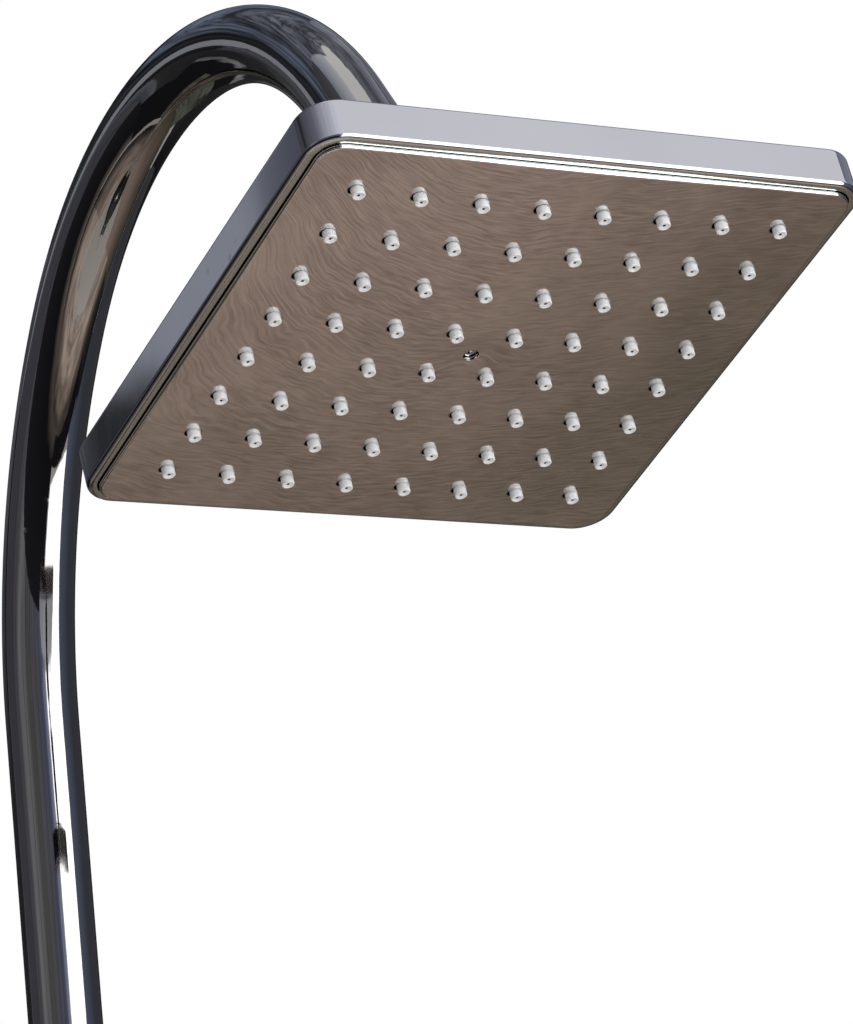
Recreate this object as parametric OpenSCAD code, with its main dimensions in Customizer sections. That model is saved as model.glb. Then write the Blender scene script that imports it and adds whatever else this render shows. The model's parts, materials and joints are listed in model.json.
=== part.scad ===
// Solar outdoor shower. A black storage column stands on a ground plate and carries a lever mixer and a
// foot tap. A bright gooseneck rises from its top and holds a square rain head on a ball joint.
// Millimetres. +Z is up, the origin is on the ground under the column's axis, and the head hangs towards -Y.

/* [Ground plate] */
// Side of the square ground plate
plate_w = 320; // [300:5:380]
// Thickness of the ground plate
plate_t = 6; // [4:1:12]
// Corner radius of the ground plate
plate_corner_r = 30; // [10:1:40]
// Thickness of the rubber mat under the plate
mat_t = 2; // [1:0.5:5]
// Distance between the anchor holes, along X and along Y
anchor_pitch = 250; // [240:5:260]
// Diameter of an anchor hole
anchor_hole_d = 11; // [8:0.5:14]

/* [Column foot] */
// Width of the foot's bolting flange beyond the tank
foot_flange_w = 31; // [26:1:36]
// Thickness of the bolting flange
foot_flange_t = 10; // [8:1:14]
// Height of the spigot that the tank slides over
foot_spigot_h = 45; // [30:1:60]
// Wall of the spigot
foot_spigot_wall = 12; // [10:1:16]
// Diameter of the foot's bolts
foot_bolt_d = 8; // [6:1:10]
// Number of bolts round the foot
foot_bolts = 6; // [4:1:8]
// Wall of the foot's moulded cover
cover_wall = 2.5; // [1.5:0.5:4]
// Height of the foot's cover
cover_h = 40; // [36:1:60]

/* [Tank] */
// Outer diameter of the tank
tank_d = 160; // [150:2:180]
// Wall of the tank
tank_wall = 4; // [3:0.5:6]
// Height of the lower tank section
lower_tank_h = 820; // [700:10:900]
// Height of the upper tank section
upper_tank_h = 820; // [700:10:900]
// Height of the ring that joins the two sections
coupling_h = 80; // [60:2:110]
// Wall of that ring
coupling_wall = 7; // [6:0.5:10]
// Thickness of the web that the sections butt against
coupling_web = 4; // [3:0.5:8]
// How far a fitting's boss stands out of the tank, and into it
boss_proud = 4; // [3:0.5:6]
// Length of the top cap's spigot in the tank
cap_spigot_h = 40; // [25:1:60]
// Thickness of the cap's rim
cap_rim_t = 8; // [6:1:14]
// Rise of the cap's crown above its rim
cap_crown_h = 18; // [14:1:26]

/* [Water fittings] */
// Height of the hose inlet above the foot's flange
inlet_rise = 110; // [90:5:140]
// Outer diameter of the inlet's hose thread
hose_thread_d = 26.4; // [20:0.2:27]
// Length of the inlet's hose thread
hose_thread_l = 16; // [12:1:20]
// Height of the foot tap above the foot's flange
foot_tap_rise = 290; // [220:10:400]
// Diameter of the shanks of the inlet and the foot tap
shank_d = 20.8; // [19:0.2:22]
// Diameter of the drain plug's thread
drain_d = 16.8; // [14:0.2:20]
// Outer diameter of the water tubes in the tank
hose_d = 18; // [16:0.5:20]
// Wall of those tubes
hose_wall = 2; // [1.5:0.5:3]

/* [Mixer] */
// Height of the mixer above the coupling
mixer_rise = 250; // [180:10:400]
// Distance of the mixer's pivot from the tank
mixer_reach = 32; // [30:1:40]
// Diameter of the mixer's barrel
mixer_d = 50; // [48:1:56]
// Radius of the mixer's round nose
nose_r = 20; // [18:0.5:21]
// Length of the mixer's lever
lever_l = 82; // [60:2:110]
// Diameter of the lever's rod
lever_d = 9; // [7:0.5:11]
// Angle of the lever above the horizontal when the water is off
lever_rest = 18; // [5:1:25]

/* [Gooseneck] */
// Outer diameter of the gooseneck tube
tube_d = 28; // [26:0.5:30]
// Wall of the gooseneck tube
tube_wall = 1.5; // [1:0.25:2]
// Length of the straight leg
leg_l = 266; // [200:2:320]
// Radius of the bend above the leg, on the tube's centreline
leg_bend_r = 228; // [200:1:260]
// Angle of the bend above the leg
leg_bend_a = 39.8; // [32:0.1:44]
// Radius of the arch's tighter bend, on the centreline
arch_bend_r = 149.5; // [130:0.5:170]
// Angle of the arch's tighter bend
arch_bend_a = 102.8; // [98:0.1:106]
// Length of the tube beyond the arch, which is drawn almost straight
arch_end_l = 49; // [30:1:80]

/* [Ball joint] */
// Diameter of the ball
ball_d = 22; // [20:0.5:24]
// Diameter of the ball's neck
neck_d = 13; // [11:0.5:14]
// Distance from the ball's centre to the tube's end fitting
ball_reach = 25.5; // [25:0.5:30]
// Height of the ball's centre above the head's back
ball_rise = 26.3; // [26:0.1:30]
// Angle that the head may tilt from the tube's end, each way
ball_range = 25; // [22:1:26]
// Lean of the head from level
head_lean = 16.5; // [13:0.1:20]

/* [Rain head] */
// Side of the square head
head_w = 200; // [180:1:220]
// Height of the head's side wall
head_h = 15; // [14:0.5:20]
// Corner radius of the head
head_corner_r = 12.5; // [8:0.5:20]
// Radius of the rounded edges of the head
head_edge_r = 1.2; // [0.6:0.1:1.5]
// Width of the rim round the face plate
rim_w = 3.4; // [2.8:0.1:5]
// Width of the groove between rim and face plate
groove_w = 0.4; // [0.3:0.1:1.2]
// How far the edge of the face plate stands out of the rim
face_step = 2; // [1:0.25:3]
// Thickness of the head's back
back_t = 2; // [1.5:0.25:3]
// Thickness of the face plate
face_t = 1.6; // [1.2:0.1:2]
// Bulge of the face plate at its centre
face_bulge = 1.6; // [0.8:0.1:2]
// Number of nozzles along a side
nozzle_n = 8; // [6:1:9]
// Distance between the nozzles
nozzle_pitch = 21.9; // [18:0.1:24]
// Diameter of a nozzle
nozzle_d = 4.3; // [3.8:0.1:5]
// Diameter of the holes in the face plate that the nozzles stand in
nozzle_hole_d = 5.6; // [5.2:0.1:6]
// How far a nozzle stands out of the face
nozzle_l = 2.5; // [1.5:0.1:4]
// Diameter of a nozzle's outlet
outlet_d = 1; // [0.6:0.1:1.4]
// How deep the centre screw sits in its hole
screw_recess = 1.1; // [0.3:0.1:1.5]

/* [Hidden] */
$fn = 72;
// Enough facets for a wide, shallow curve
fine_fn = 720;
// Gap between pieces that slide into each other and stay put
slip = 0.2;
// Gap round a shaft that turns in its bore
running = 0.05;
// Gap between curved faces that move past each other
moving = 0.3;
// Overlap that makes one solid of two shapes, and lets a cut break through a face
bite = 1;

tank_r = tank_d / 2;
bore_r = tank_r - tank_wall;
plate_top = mat_t + plate_t;
foot_r = tank_r + foot_flange_w;
foot_top = plate_top + foot_flange_t;
foot_bolt_r = foot_r - foot_flange_w / 2;
bolt_head_r = foot_bolt_d * 0.8;
spigot_r = bore_r - slip;
seal_d = 4;
seal_squeeze = 0.05;
lower_top = foot_top + lower_tank_h;
upper_z = lower_top + coupling_web;
upper_top = upper_z + upper_tank_h;

inlet_z = foot_top + inlet_rise;
drain_z = inlet_z;
foot_tap_z = foot_top + foot_tap_rise;
mixer_z = upper_z + mixer_rise;
boss_face = tank_r + boss_proud;
boss_back = bore_r - 2 * boss_proud;
boss_wall = 9;
washer_t = 2;
seat_face = boss_face + washer_t;
shank_r = shank_d / 2;
locknut_t = 8;
// A shank reaches this far past its locknut
shank_spare = 3;
shank_end = boss_back - locknut_t - shank_spare;
hose_r = hose_d / 2;
hose_bore_r = hose_r - hose_wall;
barb_wall = 2;
barb_r = hose_bore_r - slip;
barb_l = 14;
port_bore_r = barb_r - barb_wall;

// The mixer lies along -Y: values that end in _u are distances from the column's axis
pivot_u = tank_r + mixer_reach;
mixer_r = mixer_d / 2;
mixer_flange_t = 5;
mixer_shank_r = 20.6;
mixer_tail_r = 15;
cold_port_u = 30;
hot_port_u = 36;
// Height of the waterways over and under the mixer's axis, and their radius
way_y = 8;
way_r = 3;
pocket_r = 16;
pocket_u = pivot_u - 27;
// The nose's flat ring sits this far behind the pivot
nose_seat = 6;
nose_wall = 3;
rotor_r = 9;
rotor_u = pivot_u - 11;
stem_r = 4;
stem_foot = 3;
pin_r = 1.5;
hub_gap = 0.5;
hub_t = 4;
hub_r = nose_r + hub_gap + hub_t;
// The lever lifts through this angle, the nose's hole lets its stem pass, and the hub always covers the hole
lift_range = 20;
nose_hole_angle = ceil(lift_range + asin(stem_r / nose_r) + 1);
hub_half_angle = nose_hole_angle + lift_range + 2;
// How far the stem reaches from the pivot into the hub, and the grub screw that holds it there
stem_reach = hub_r - 1;
lever_screw_r = 1.1;
lever_screw_l = 2.8;
lever_screw_u = stem_reach - lever_screw_r;
rod_start = nose_r + hub_gap + 1;

tap_valve_u = 112;
tap_flange_t = 4;
tap_barrel_r = 13;
tap_front_u = 132;
tap_way_r = 6;
tap_plug_r = 8;
tap_plug_l = 6;
spout_r = 9;
spout_l = 36;
tap_spindle_r = 5;
knob_r = 17;
knob_t = 18;
knob_gap = 3;
knob_u = tap_front_u + knob_gap;
knob_flutes = 6;
knob_flute_r = 6;
knob_screw_r = 1.5;
knob_screw_head_r = 4;

// The outlet stack over the cap
cap_proud = 2;
cap_r = tank_r + cap_proud;
nipple_flange_r = 24;
cap_top = upper_top + cap_rim_t + crown_flat_z();
nipple_flange_t = 6;
nipple_shank_r = 13.1;
nipple_thread_r = 16.6;
nipple_thread_l = 18;
swivel_r = 10;
swivel_l = 28;
collar_t = 4;
slip_washer_t = 1.5;
nipple_top = cap_top + nipple_flange_t + nipple_thread_l;
collar_z = nipple_top + slip_washer_t;
tube_z = collar_z + collar_t;
tube_r = tube_d / 2;
tube_bore_r = tube_r - tube_wall;
collar_r = nipple_thread_r - 1;
union_lip_t = 3;
union_wall = 4.4;
union_r = nipple_thread_r + slip + union_wall;
union_top = tube_z + moving + union_lip_t;
union_cone_h = 6;
// Material taken off by each of a nut's two spanner flats
flat_cut = 1.6;
flat_h = 14;
water_r = 6;

// The gooseneck's centreline, as points in the Y-Z plane
bend_z = tube_z + leg_l;
arch_a = leg_bend_a + arch_bend_a;
end_bend_r = 5000;
end_bend_a = arch_end_l / end_bend_r * 180 / PI;
end_a = arch_a + end_bend_a;
// Steps from one bend's centre to the next
arch_step = (leg_bend_r - arch_bend_r) * [cos(leg_bend_a), sin(leg_bend_a)];
end_step = (arch_bend_r - end_bend_r) * [cos(arch_a), sin(arch_a)];
tube_end_yz = [-leg_bend_r, bend_z] + arch_step + end_step + end_bend_r * [cos(end_a), sin(end_a)];
end_lean = 180 - end_a;

// The tube's end, as distances from the ball's centre up the tube
ball_r = ball_d / 2;
neck_r = neck_d / 2;
end_washer_t = 1.5;
stem_flange_t = 3;
stem_flange_r = 9.6;
stem_top = ball_reach - end_washer_t - slip;
stem_flange_u = stem_top - stem_flange_t;
end_thread_r = 10.4;
end_thread_l = 11;
end_shoulder_t = 3;
end_tube_u = ball_reach + end_thread_l + end_shoulder_t;
end_plug_l = 16;
ball_yz = tube_end_yz + end_tube_u * [-sin(end_a), cos(end_a)];
end_nut_af = 26;
end_nut_lip_t = 3;
end_nut_u = stem_flange_u - slip - end_nut_lip_t;

// The head, as heights over the plane of its rim, in the head's own frame
ball_h = head_h + ball_rise;
cavity_w = head_w - 2 * rim_w;
cavity_r = head_corner_r - rim_w;
face_w = cavity_w - 2 * groove_w;
face_r = cavity_r - groove_w;
ceiling_z = head_h - back_t;
face_edge_z = -face_step;
face_corner_z = 0.7 * face_edge_z;
face_back_z = 2;
bulge_r = (pow(face_w / 2, 2) + pow(face_bulge, 2)) / (2 * face_bulge);
mat_z = face_back_z + slip;
nozzle_mat_t = 1.6;
dome_rings = 12;
spray_z = mat_z + nozzle_mat_t;
spray_t = 2;
chamber_z = spray_z + spray_t;
chamber_seal_t = 1.5;
rib_z = chamber_z + chamber_seal_t;
inner_w = face_w - 4;
inner_r = face_r - 2;
hollow_w = inner_w - 4;
hollow_r = inner_r - 2;
seal_w = 5;
socket_r = 15;
socket_bore_r = ball_r + 0.6;
// Water flows through the ball's neck, then through the disc under it
neck_bore_r = neck_r - 3;
seat_bore_r = neck_r - 2;
flow_disc_t = 1.5;
socket_floor_z = head_h + 5;
socket_top_z = ball_h - 3;
ball_nut_wall = 3;
ball_nut_r = socket_r + slip + ball_nut_wall;
ball_nut_z = head_h + 6;
ball_nut_top = ball_h + 7;
seat_z = socket_floor_z + 0.1;
seat_top_z = ball_h - 4;
centre_boss_r = 4.5;
face_boss_r = 5;
screw_r = 2;
screw_head_r = 2.4;
screw_hole_r = 2.7;
post_r = 4;
post_screw_r = 1.5;
post_at = inner_w / 2 - seal_w - post_r - 2;

steel = [0.62, 0.64, 0.67];
chrome = [0.72, 0.75, 0.80];
brass = [0.78, 0.63, 0.33];
black = [0.09, 0.09, 0.10];
rubber = [0.14, 0.14, 0.15];
white = [0.90, 0.91, 0.92];

// Radius of the cap's crown, and its height where it is cut flat for the nipple's flange
function crown_sphere_r() = (pow(cap_r, 2) + pow(cap_crown_h, 2)) / (2 * cap_crown_h);
function crown_flat_z() =
    cap_crown_h - crown_sphere_r() + sqrt(pow(crown_sphere_r(), 2) - pow(nipple_flange_r + 1, 2));

// Height of the face plate's outer surface at a distance from its centre
function face_z(r) = face_edge_z - face_bulge + bulge_r - sqrt(pow(bulge_r, 2) - pow(r, 2));

// Centres of the nozzles along one side
nozzle_at = [for (i = [0 : nozzle_n - 1]) (i - (nozzle_n - 1) / 2) * nozzle_pitch];

// Square with rounded corners
module rounded_square(w, r) {
    square([w, w - 2 * r], center = true);
    square([w - 2 * r, w], center = true);
    for (x = [-1, 1], y = [-1, 1]) translate([x, y] * (w / 2 - r)) circle(r);
}

// Flat ring that stands on z = 0
module ring(outer, inner, h) {
    difference() {
        cylinder(r = outer, h = h);
        translate([0, 0, -bite]) cylinder(r = inner, h = h + 2 * bite);
    }
}

// Round seal of round section, centred on z = 0
module seal(inner, section) {
    rotate_extrude() translate([inner + section / 2, 0]) circle(d = section, $fn = 24);
}

// Local +Z runs out of the column's front, side or back at a height
module front(z) { translate([0, 0, z]) rotate([90, 0, 0]) children(); }
module side(z) { translate([0, 0, z]) rotate([0, 90, 0]) children(); }
module rear(z) { translate([0, 0, z]) rotate([-90, 0, 0]) children(); }

// Local X and Y are the world's Y and Z
module arch_plane() { rotate([90, 0, 90]) children(); }

// Local origin is the ball's centre and +Z runs up the tube
module tube_end() {
    translate([0, ball_yz[0], ball_yz[1]]) rotate([-end_lean, 0, 0]) children();
}

// Local origin is the centre of the rim's plane and +Z runs out of the head's back
module head() {
    translate([0, ball_yz[0], ball_yz[1]]) rotate([-head_lean, 0, 0]) translate([0, 0, -ball_h]) children();
}

module at_nozzles() { for (x = nozzle_at, y = nozzle_at) translate([x, y, 0]) children(); }
module at_posts() { for (x = [-1, 1], y = [-1, 1]) translate([x * post_at, y * post_at, 0]) children(); }

module anchor_holes(h) {
    for (x = [-1, 1], y = [-1, 1]) translate([x, y, 0] * anchor_pitch / 2)
        translate([0, 0, -bite]) cylinder(d = anchor_hole_d, h = h + 2 * bite);
}

module ground_mat() {
    color(rubber) difference() {
        linear_extrude(mat_t) rounded_square(plate_w, plate_corner_r);
        anchor_holes(mat_t);
    }
}

module ground_plate() {
    color(steel) translate([0, 0, mat_t]) difference() {
        linear_extrude(plate_t) rounded_square(plate_w, plate_corner_r);
        anchor_holes(plate_t);
        at_foot_bolts() translate([0, 0, -bite]) cylinder(d = foot_bolt_d, h = plate_t + 2 * bite);
    }
}

module at_foot_bolts() {
    for (i = [0 : foot_bolts - 1]) rotate(i * 360 / foot_bolts) translate([foot_bolt_r, 0, 0]) children();
}

module column_foot() {
    color(black) difference() {
        translate([0, 0, plate_top]) union() {
            cylinder(r = foot_r, h = foot_flange_t);
            cylinder(r = spigot_r, h = foot_flange_t + foot_spigot_h);
        }
        translate([0, 0, foot_top]) cylinder(r = spigot_r - foot_spigot_wall, h = foot_spigot_h + bite);
        translate([0, 0, plate_top - bite])
            at_foot_bolts() cylinder(r = foot_bolt_d / 2 + slip, h = foot_flange_t + 2 * bite);
        translate([0, 0, foot_seal_z()]) ring(spigot_r + bite, spigot_r - seal_d, seal_d + slip);
    }
}

function foot_seal_z() = foot_top + foot_spigot_h - 3 * seal_d;

module foot_seal() {
    color(rubber) translate([0, 0, foot_seal_z() + seal_d / 2 + slip / 2])
        seal(bore_r - seal_squeeze - seal_d, seal_d);
}

module foot_bolts_set() {
    color(steel) at_foot_bolts() {
        translate([0, 0, mat_t + slip]) cylinder(r = foot_bolt_d / 2 - running, h = foot_top - mat_t);
        translate([0, 0, foot_top]) difference() {
            cylinder(r = bolt_head_r, h = foot_bolt_d);
            translate([0, 0, foot_bolt_d / 2]) cylinder(d = foot_bolt_d * 0.85, h = foot_bolt_d, $fn = 6);
        }
    }
}

module foot_cover() {
    room = 2;
    skirt_r = foot_r + cover_wall + room + 1;
    collar_r = tank_r + slip;
    // The shoulder clears the bolts' heads
    shoulder_r = foot_bolt_r + bolt_head_r + room;
    shoulder_z = foot_flange_t + foot_bolt_d + room;
    color(black) translate([0, 0, plate_top]) rotate_extrude() polygon([
        [skirt_r - cover_wall, 0], [skirt_r, 0], [skirt_r, foot_flange_t + cover_wall],
        [shoulder_r + cover_wall / 2, shoulder_z + cover_wall],
        [collar_r + cover_wall, shoulder_z + 4 * cover_wall],
        [collar_r + cover_wall, cover_h], [collar_r, cover_h], [collar_r, shoulder_z + 3 * cover_wall],
        [shoulder_r, shoulder_z], [skirt_r - cover_wall, foot_flange_t + cover_wall / 2]]);
}

// A flat-faced boss through the tank's wall, for a fitting whose hole has radius r
module boss(r) {
    translate([0, 0, boss_back]) cylinder(r = r + boss_wall, h = boss_face - boss_back);
}
module boss_hole(r) {
    translate([0, 0, boss_back - bite]) cylinder(r = r, h = boss_face - boss_back + 2 * bite);
}

module lower_tank() {
    color(black) difference() {
        union() {
            translate([0, 0, foot_top]) ring(tank_r, bore_r, lower_tank_h);
            rear(inlet_z) boss(shank_r + slip);
            front(foot_tap_z) boss(shank_r + slip);
            side(drain_z) boss(drain_d / 2 + slip);
        }
        rear(inlet_z) boss_hole(shank_r + slip);
        front(foot_tap_z) boss_hole(shank_r + slip);
        side(drain_z) boss_hole(drain_d / 2);
    }
}

module upper_tank() {
    color(black) difference() {
        union() {
            translate([0, 0, upper_z]) ring(tank_r, bore_r, upper_tank_h);
            front(mixer_z) boss(mixer_shank_r + slip);
        }
        front(mixer_z) boss_hole(mixer_shank_r + slip);
    }
}

// Heights of the coupling's two seals
function coupling_seal_z() = [for (s = [-1, 1]) lower_top + coupling_web / 2 + s * coupling_h / 3];

module coupling_ring() {
    mid = lower_top + coupling_web / 2;
    color(black) difference() {
        translate([0, 0, mid - coupling_h / 2]) ring(tank_r + slip + coupling_wall, bore_r, coupling_h);
        translate([0, 0, mid - coupling_h / 2 - bite])
            cylinder(r = tank_r + slip, h = coupling_h / 2 - coupling_web / 2 + bite);
        translate([0, 0, upper_z]) cylinder(r = tank_r + slip, h = coupling_h);
        for (z = coupling_seal_z()) translate([0, 0, z - seal_d / 2 - slip / 2])
            ring(tank_r + seal_d + slip, tank_r - bite, seal_d + slip);
    }
}

module coupling_seals() {
    color(rubber) for (z = coupling_seal_z()) translate([0, 0, z]) seal(tank_r + seal_squeeze, seal_d);
}

module top_cap() {
    seal_z = upper_top - cap_spigot_h / 2;
    color(black) difference() {
        union() {
            translate([0, 0, upper_top - cap_spigot_h]) cylinder(r = spigot_r, h = cap_spigot_h + bite);
            translate([0, 0, upper_top]) cylinder(r = cap_r, h = cap_rim_t);
            translate([0, 0, upper_top + cap_rim_t]) rotate_extrude() intersection() {
                translate([0, cap_crown_h - crown_sphere_r()]) circle(crown_sphere_r(), $fn = fine_fn);
                square([cap_r, crown_flat_z()]);
            }
        }
        translate([0, 0, upper_top - cap_spigot_h - bite])
            cylinder(r = spigot_r - foot_spigot_wall, h = cap_spigot_h + bite);
        translate([0, 0, upper_top - bite]) cylinder(r = nipple_shank_r + slip, h = cap_top);
        translate([0, 0, seal_z - seal_d / 2 - slip / 2]) ring(spigot_r + bite, spigot_r - seal_d, seal_d + slip);
    }
}

module cap_seal() {
    color(rubber) translate([0, 0, upper_top - cap_spigot_h / 2])
        seal(bore_r - seal_squeeze - seal_d, seal_d);
}

module bulkhead_washer(r) { color(rubber) translate([0, 0, boss_face]) ring(r + boss_wall, r + slip, washer_t); }
module bulkhead_locknut(r) {
    color(brass) translate([0, 0, boss_back - locknut_t]) difference() {
        cylinder(r = r + boss_wall, h = locknut_t, $fn = 6);
        translate([0, 0, -bite]) cylinder(r = r + slip, h = locknut_t + 2 * bite);
    }
}

// Shank through the tank's wall, with the flange that presses on its washer
module bulkhead_shank(r, flange_t) {
    translate([0, 0, shank_end]) cylinder(r = r, h = seat_face - shank_end + bite);
    translate([0, 0, seat_face]) cylinder(r = r + boss_wall, h = flange_t);
}

inlet_flange_t = 7;
inlet_front = seat_face + inlet_flange_t + hose_thread_l;
valve_r = 7.5;
valve_l = 20;
valve_u = inlet_front - valve_l - 10;
inlet_tail_r = hose_r + 1;

module hose_inlet() {
    port = -cold_port_u;
    tail_u = port - inlet_tail_r - 1;
    color(brass) rear(inlet_z) difference() {
        union() {
            bulkhead_shank(shank_r, inlet_flange_t);
            translate([0, 0, seat_face + inlet_flange_t - bite])
                cylinder(d = hose_thread_d, h = hose_thread_l + bite);
            translate([0, 0, tail_u]) cylinder(r = inlet_tail_r, h = shank_end - tail_u + bite);
            translate([0, 0, port]) rotate([90, 0, 0]) cylinder(r = barb_r, h = inlet_tail_r + barb_l);
        }
        translate([0, 0, port]) cylinder(r = port_bore_r, h = inlet_front);
        translate([0, 0, valve_u]) cylinder(r = valve_r + slip, h = inlet_front);
        translate([0, 0, port]) rotate([90, 0, 0]) cylinder(r = port_bore_r, h = 3 * barb_l);
        // A small hole that lets the tank fill
        rotate([-90, 0, 0]) cylinder(r = port_bore_r / 2, h = 2 * hose_r);
    }
}

module check_valve() {
    color(white) rear(inlet_z) translate([0, 0, valve_u]) difference() {
        cylinder(r = valve_r, h = valve_l);
        translate([0, 0, -bite]) cylinder(r = valve_r / 2, h = valve_l / 3 + bite);
        translate([0, 0, valve_l * 2 / 3]) cylinder(r = valve_r - 2, h = valve_l);
        for (i = [0 : 2]) rotate(120 * i) translate([valve_r / 2, 0, 0]) cylinder(r = valve_r / 5, h = valve_l);
    }
}

module drain_plug() {
    r = drain_d / 2 - running;
    flange_t = 3;
    head_h = 8;
    color(brass) side(drain_z) difference() {
        union() {
            translate([0, 0, boss_back]) cylinder(r = r, h = seat_face - boss_back + bite);
            translate([0, 0, seat_face]) cylinder(r = r + boss_wall / 2, h = flange_t);
            translate([0, 0, seat_face + flange_t - bite]) cylinder(r = r + 2, h = head_h + bite, $fn = 6);
        }
        translate([0, 0, boss_back - bite]) cylinder(r = r / 2, h = boss_wall + bite);
    }
}

module drain_seal() {
    color(rubber) side(drain_z) translate([0, 0, boss_face])
        ring(drain_d / 2 + boss_wall / 2, drain_d / 2 + slip, washer_t);
}

module hose(z, top) { translate([0, 0, z]) ring(hose_r, hose_bore_r, top - z); }
port_top = mixer_tail_r + 1;
// The hot tube draws its water this far under the cap's spigot
hot_mouth_gap = 20;

module cold_tube() {
    color(white) translate([0, -cold_port_u, 0]) hose(inlet_z + inlet_tail_r, mixer_z - port_top);
}
module hot_tube() {
    color(white) translate([0, -hot_port_u, 0]) hose(mixer_z + port_top, upper_top - cap_spigot_h - hot_mouth_gap);
}
module riser_tube() {
    color(white) hose(mixer_z + port_top, upper_top - outlet_tail_l());
}

// Depth of the nipple's shoulder under the cap
function outlet_tail_l() = washer_t + locknut_t + shank_spare + 1;

module mixer_body() {
    front_u = pivot_u + 1;
    color(chrome) front(mixer_z) difference() {
        union() {
            translate([0, 0, -mixer_tail_r]) cylinder(r = mixer_tail_r, h = shank_end + mixer_tail_r + bite);
            bulkhead_shank(mixer_shank_r, mixer_flange_t);
            translate([0, 0, seat_face]) cylinder(r = mixer_r, h = front_u - seat_face);
            // Ports on flat pads, up for the riser and the hot tube, down for the cold tube
            for (u = [0, hot_port_u]) translate([0, 0, u]) rotate([-90, 0, 0]) mixer_port();
            translate([0, 0, cold_port_u]) rotate([90, 0, 0]) mixer_port();
        }
        translate([0, 0, pocket_u]) cylinder(r = pocket_r, h = mixer_reach + 2 * bite);
        translate([0, 0, pivot_u - nose_seat]) cylinder(r = nose_r + slip, h = 2 * nose_seat);
        // Waterways from the cartridge to the three ports
        waterway(0, 0, 1);
        waterway(hot_port_u, way_y, 1);
        waterway(cold_port_u, -way_y, -1);
    }
}

module mixer_port() {
    cylinder(r = hose_r, h = port_top);
    cylinder(r = barb_r, h = port_top + barb_l);
}

// A bore back from the cartridge's pocket, and one from it out of the port on side s
module waterway(u, y, s) {
    translate([0, y, u]) cylinder(r = way_r, h = pocket_u - u + bite);
    translate([0, y - s * way_r, u]) rotate([-90 * s, 0, 0])
        cylinder(r = way_r, h = port_top + barb_l + 2 * way_r + abs(y));
}

module mixer_seal() { front(mixer_z) bulkhead_washer(mixer_shank_r); }
module mixer_locknut() { front(mixer_z) bulkhead_locknut(mixer_shank_r); }

module mixer_cartridge() {
    color(white) front(mixer_z) difference() {
        translate([0, 0, pocket_u + slip])
            cylinder(r = pocket_r - slip, h = pivot_u - nose_seat - pocket_u - 2 * slip);
        translate([0, 0, rotor_u - slip]) cylinder(r = rotor_r + running, h = pocket_r);
        for (y = [-way_y, 0, way_y]) translate([0, y, pocket_u])
            cylinder(r = way_r * 0.8, h = rotor_u - pocket_u + bite);
    }
}

// Round nose that holds the cartridge in, open for the stem
module mixer_nose() {
    color(chrome) front(mixer_z) difference() {
        union() {
            translate([0, 0, pivot_u - nose_seat]) cylinder(r = nose_r, h = nose_seat);
            translate([0, 0, pivot_u]) intersection() {
                sphere(nose_r, $fn = 96);
                cylinder(r = nose_r + bite, h = nose_r + bite);
            }
        }
        translate([0, 0, pivot_u]) sphere(nose_r - nose_wall, $fn = 96);
        translate([0, 0, pivot_u]) cylinder(r = nose_r * sin(nose_hole_angle), h = nose_r + bite);
    }
}

module mixer_rotor() {
    span = 2 * (rotor_r + bite);
    slot_w = 2 * (stem_r + slip);
    color(white) front(mixer_z) difference() {
        translate([0, 0, rotor_u]) cylinder(r = rotor_r, h = pivot_u - rotor_u + 2 * pin_r);
        // The slot that the stem swings in, and the pin's hole
        translate([-slot_w / 2, -span / 2, pivot_u - stem_r - 2]) cube([slot_w, span, span]);
        translate([-span / 2, 0, pivot_u]) rotate([0, 90, 0]) cylinder(r = pin_r, h = span);
    }
}

module rotor_pin() {
    l = 2 * (rotor_r - 1);
    color(steel) front(mixer_z) translate([-l / 2, 0, pivot_u]) rotate([0, 90, 0])
        cylinder(r = pin_r - running / 2, h = l);
}

module lever_stem() {
    color(steel) front(mixer_z) translate([0, 0, pivot_u]) difference() {
        union() {
            translate([0, 0, -stem_foot]) cylinder(r = stem_r, h = stem_foot + stem_reach);
            sphere(stem_r, $fn = 48);
        }
        translate([-rotor_r, 0, 0]) rotate([0, 90, 0]) cylinder(r = pin_r + running, h = 2 * rotor_r);
    }
}

module lever_hub() {
    color(chrome) front(mixer_z) translate([0, 0, pivot_u]) difference() {
        rotate_extrude() intersection() {
            difference() {
                circle(hub_r, $fn = 96);
                circle(nose_r + hub_gap, $fn = 96);
            }
            polygon([[0, 0], 2 * hub_r * [sin(hub_half_angle), cos(hub_half_angle)], [0, 3 * hub_r]]);
        }
        cylinder(r = stem_r + running, h = stem_reach + slip);
        lever_screw_place() translate([0, 0, -bite]) cylinder(r = lever_screw_r, h = hub_r);
    }
}

// Local +Z runs along the lever's rod, out of the hub
module lever_axis() { rotate([-lever_rest, 0, 0]) children(); }
module lever_screw_place() {
    translate([0, 0, lever_screw_u]) rotate([90, 0, 0]) translate([0, 0, stem_r + running]) children();
}

module lever_rod() {
    color(chrome) front(mixer_z) translate([0, 0, pivot_u]) difference() {
        lever_axis() translate([0, 0, rod_start]) union() {
            cylinder(r = lever_d / 2, h = lever_l);
            translate([0, 0, lever_l]) sphere(lever_d / 2, $fn = 48);
        }
        sphere(hub_r + slip / 4, $fn = 96);
    }
}

module lever_screw() {
    color(steel) front(mixer_z) translate([0, 0, pivot_u])
        lever_screw_place() cylinder(r = lever_screw_r - running, h = lever_screw_l);
}

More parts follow.
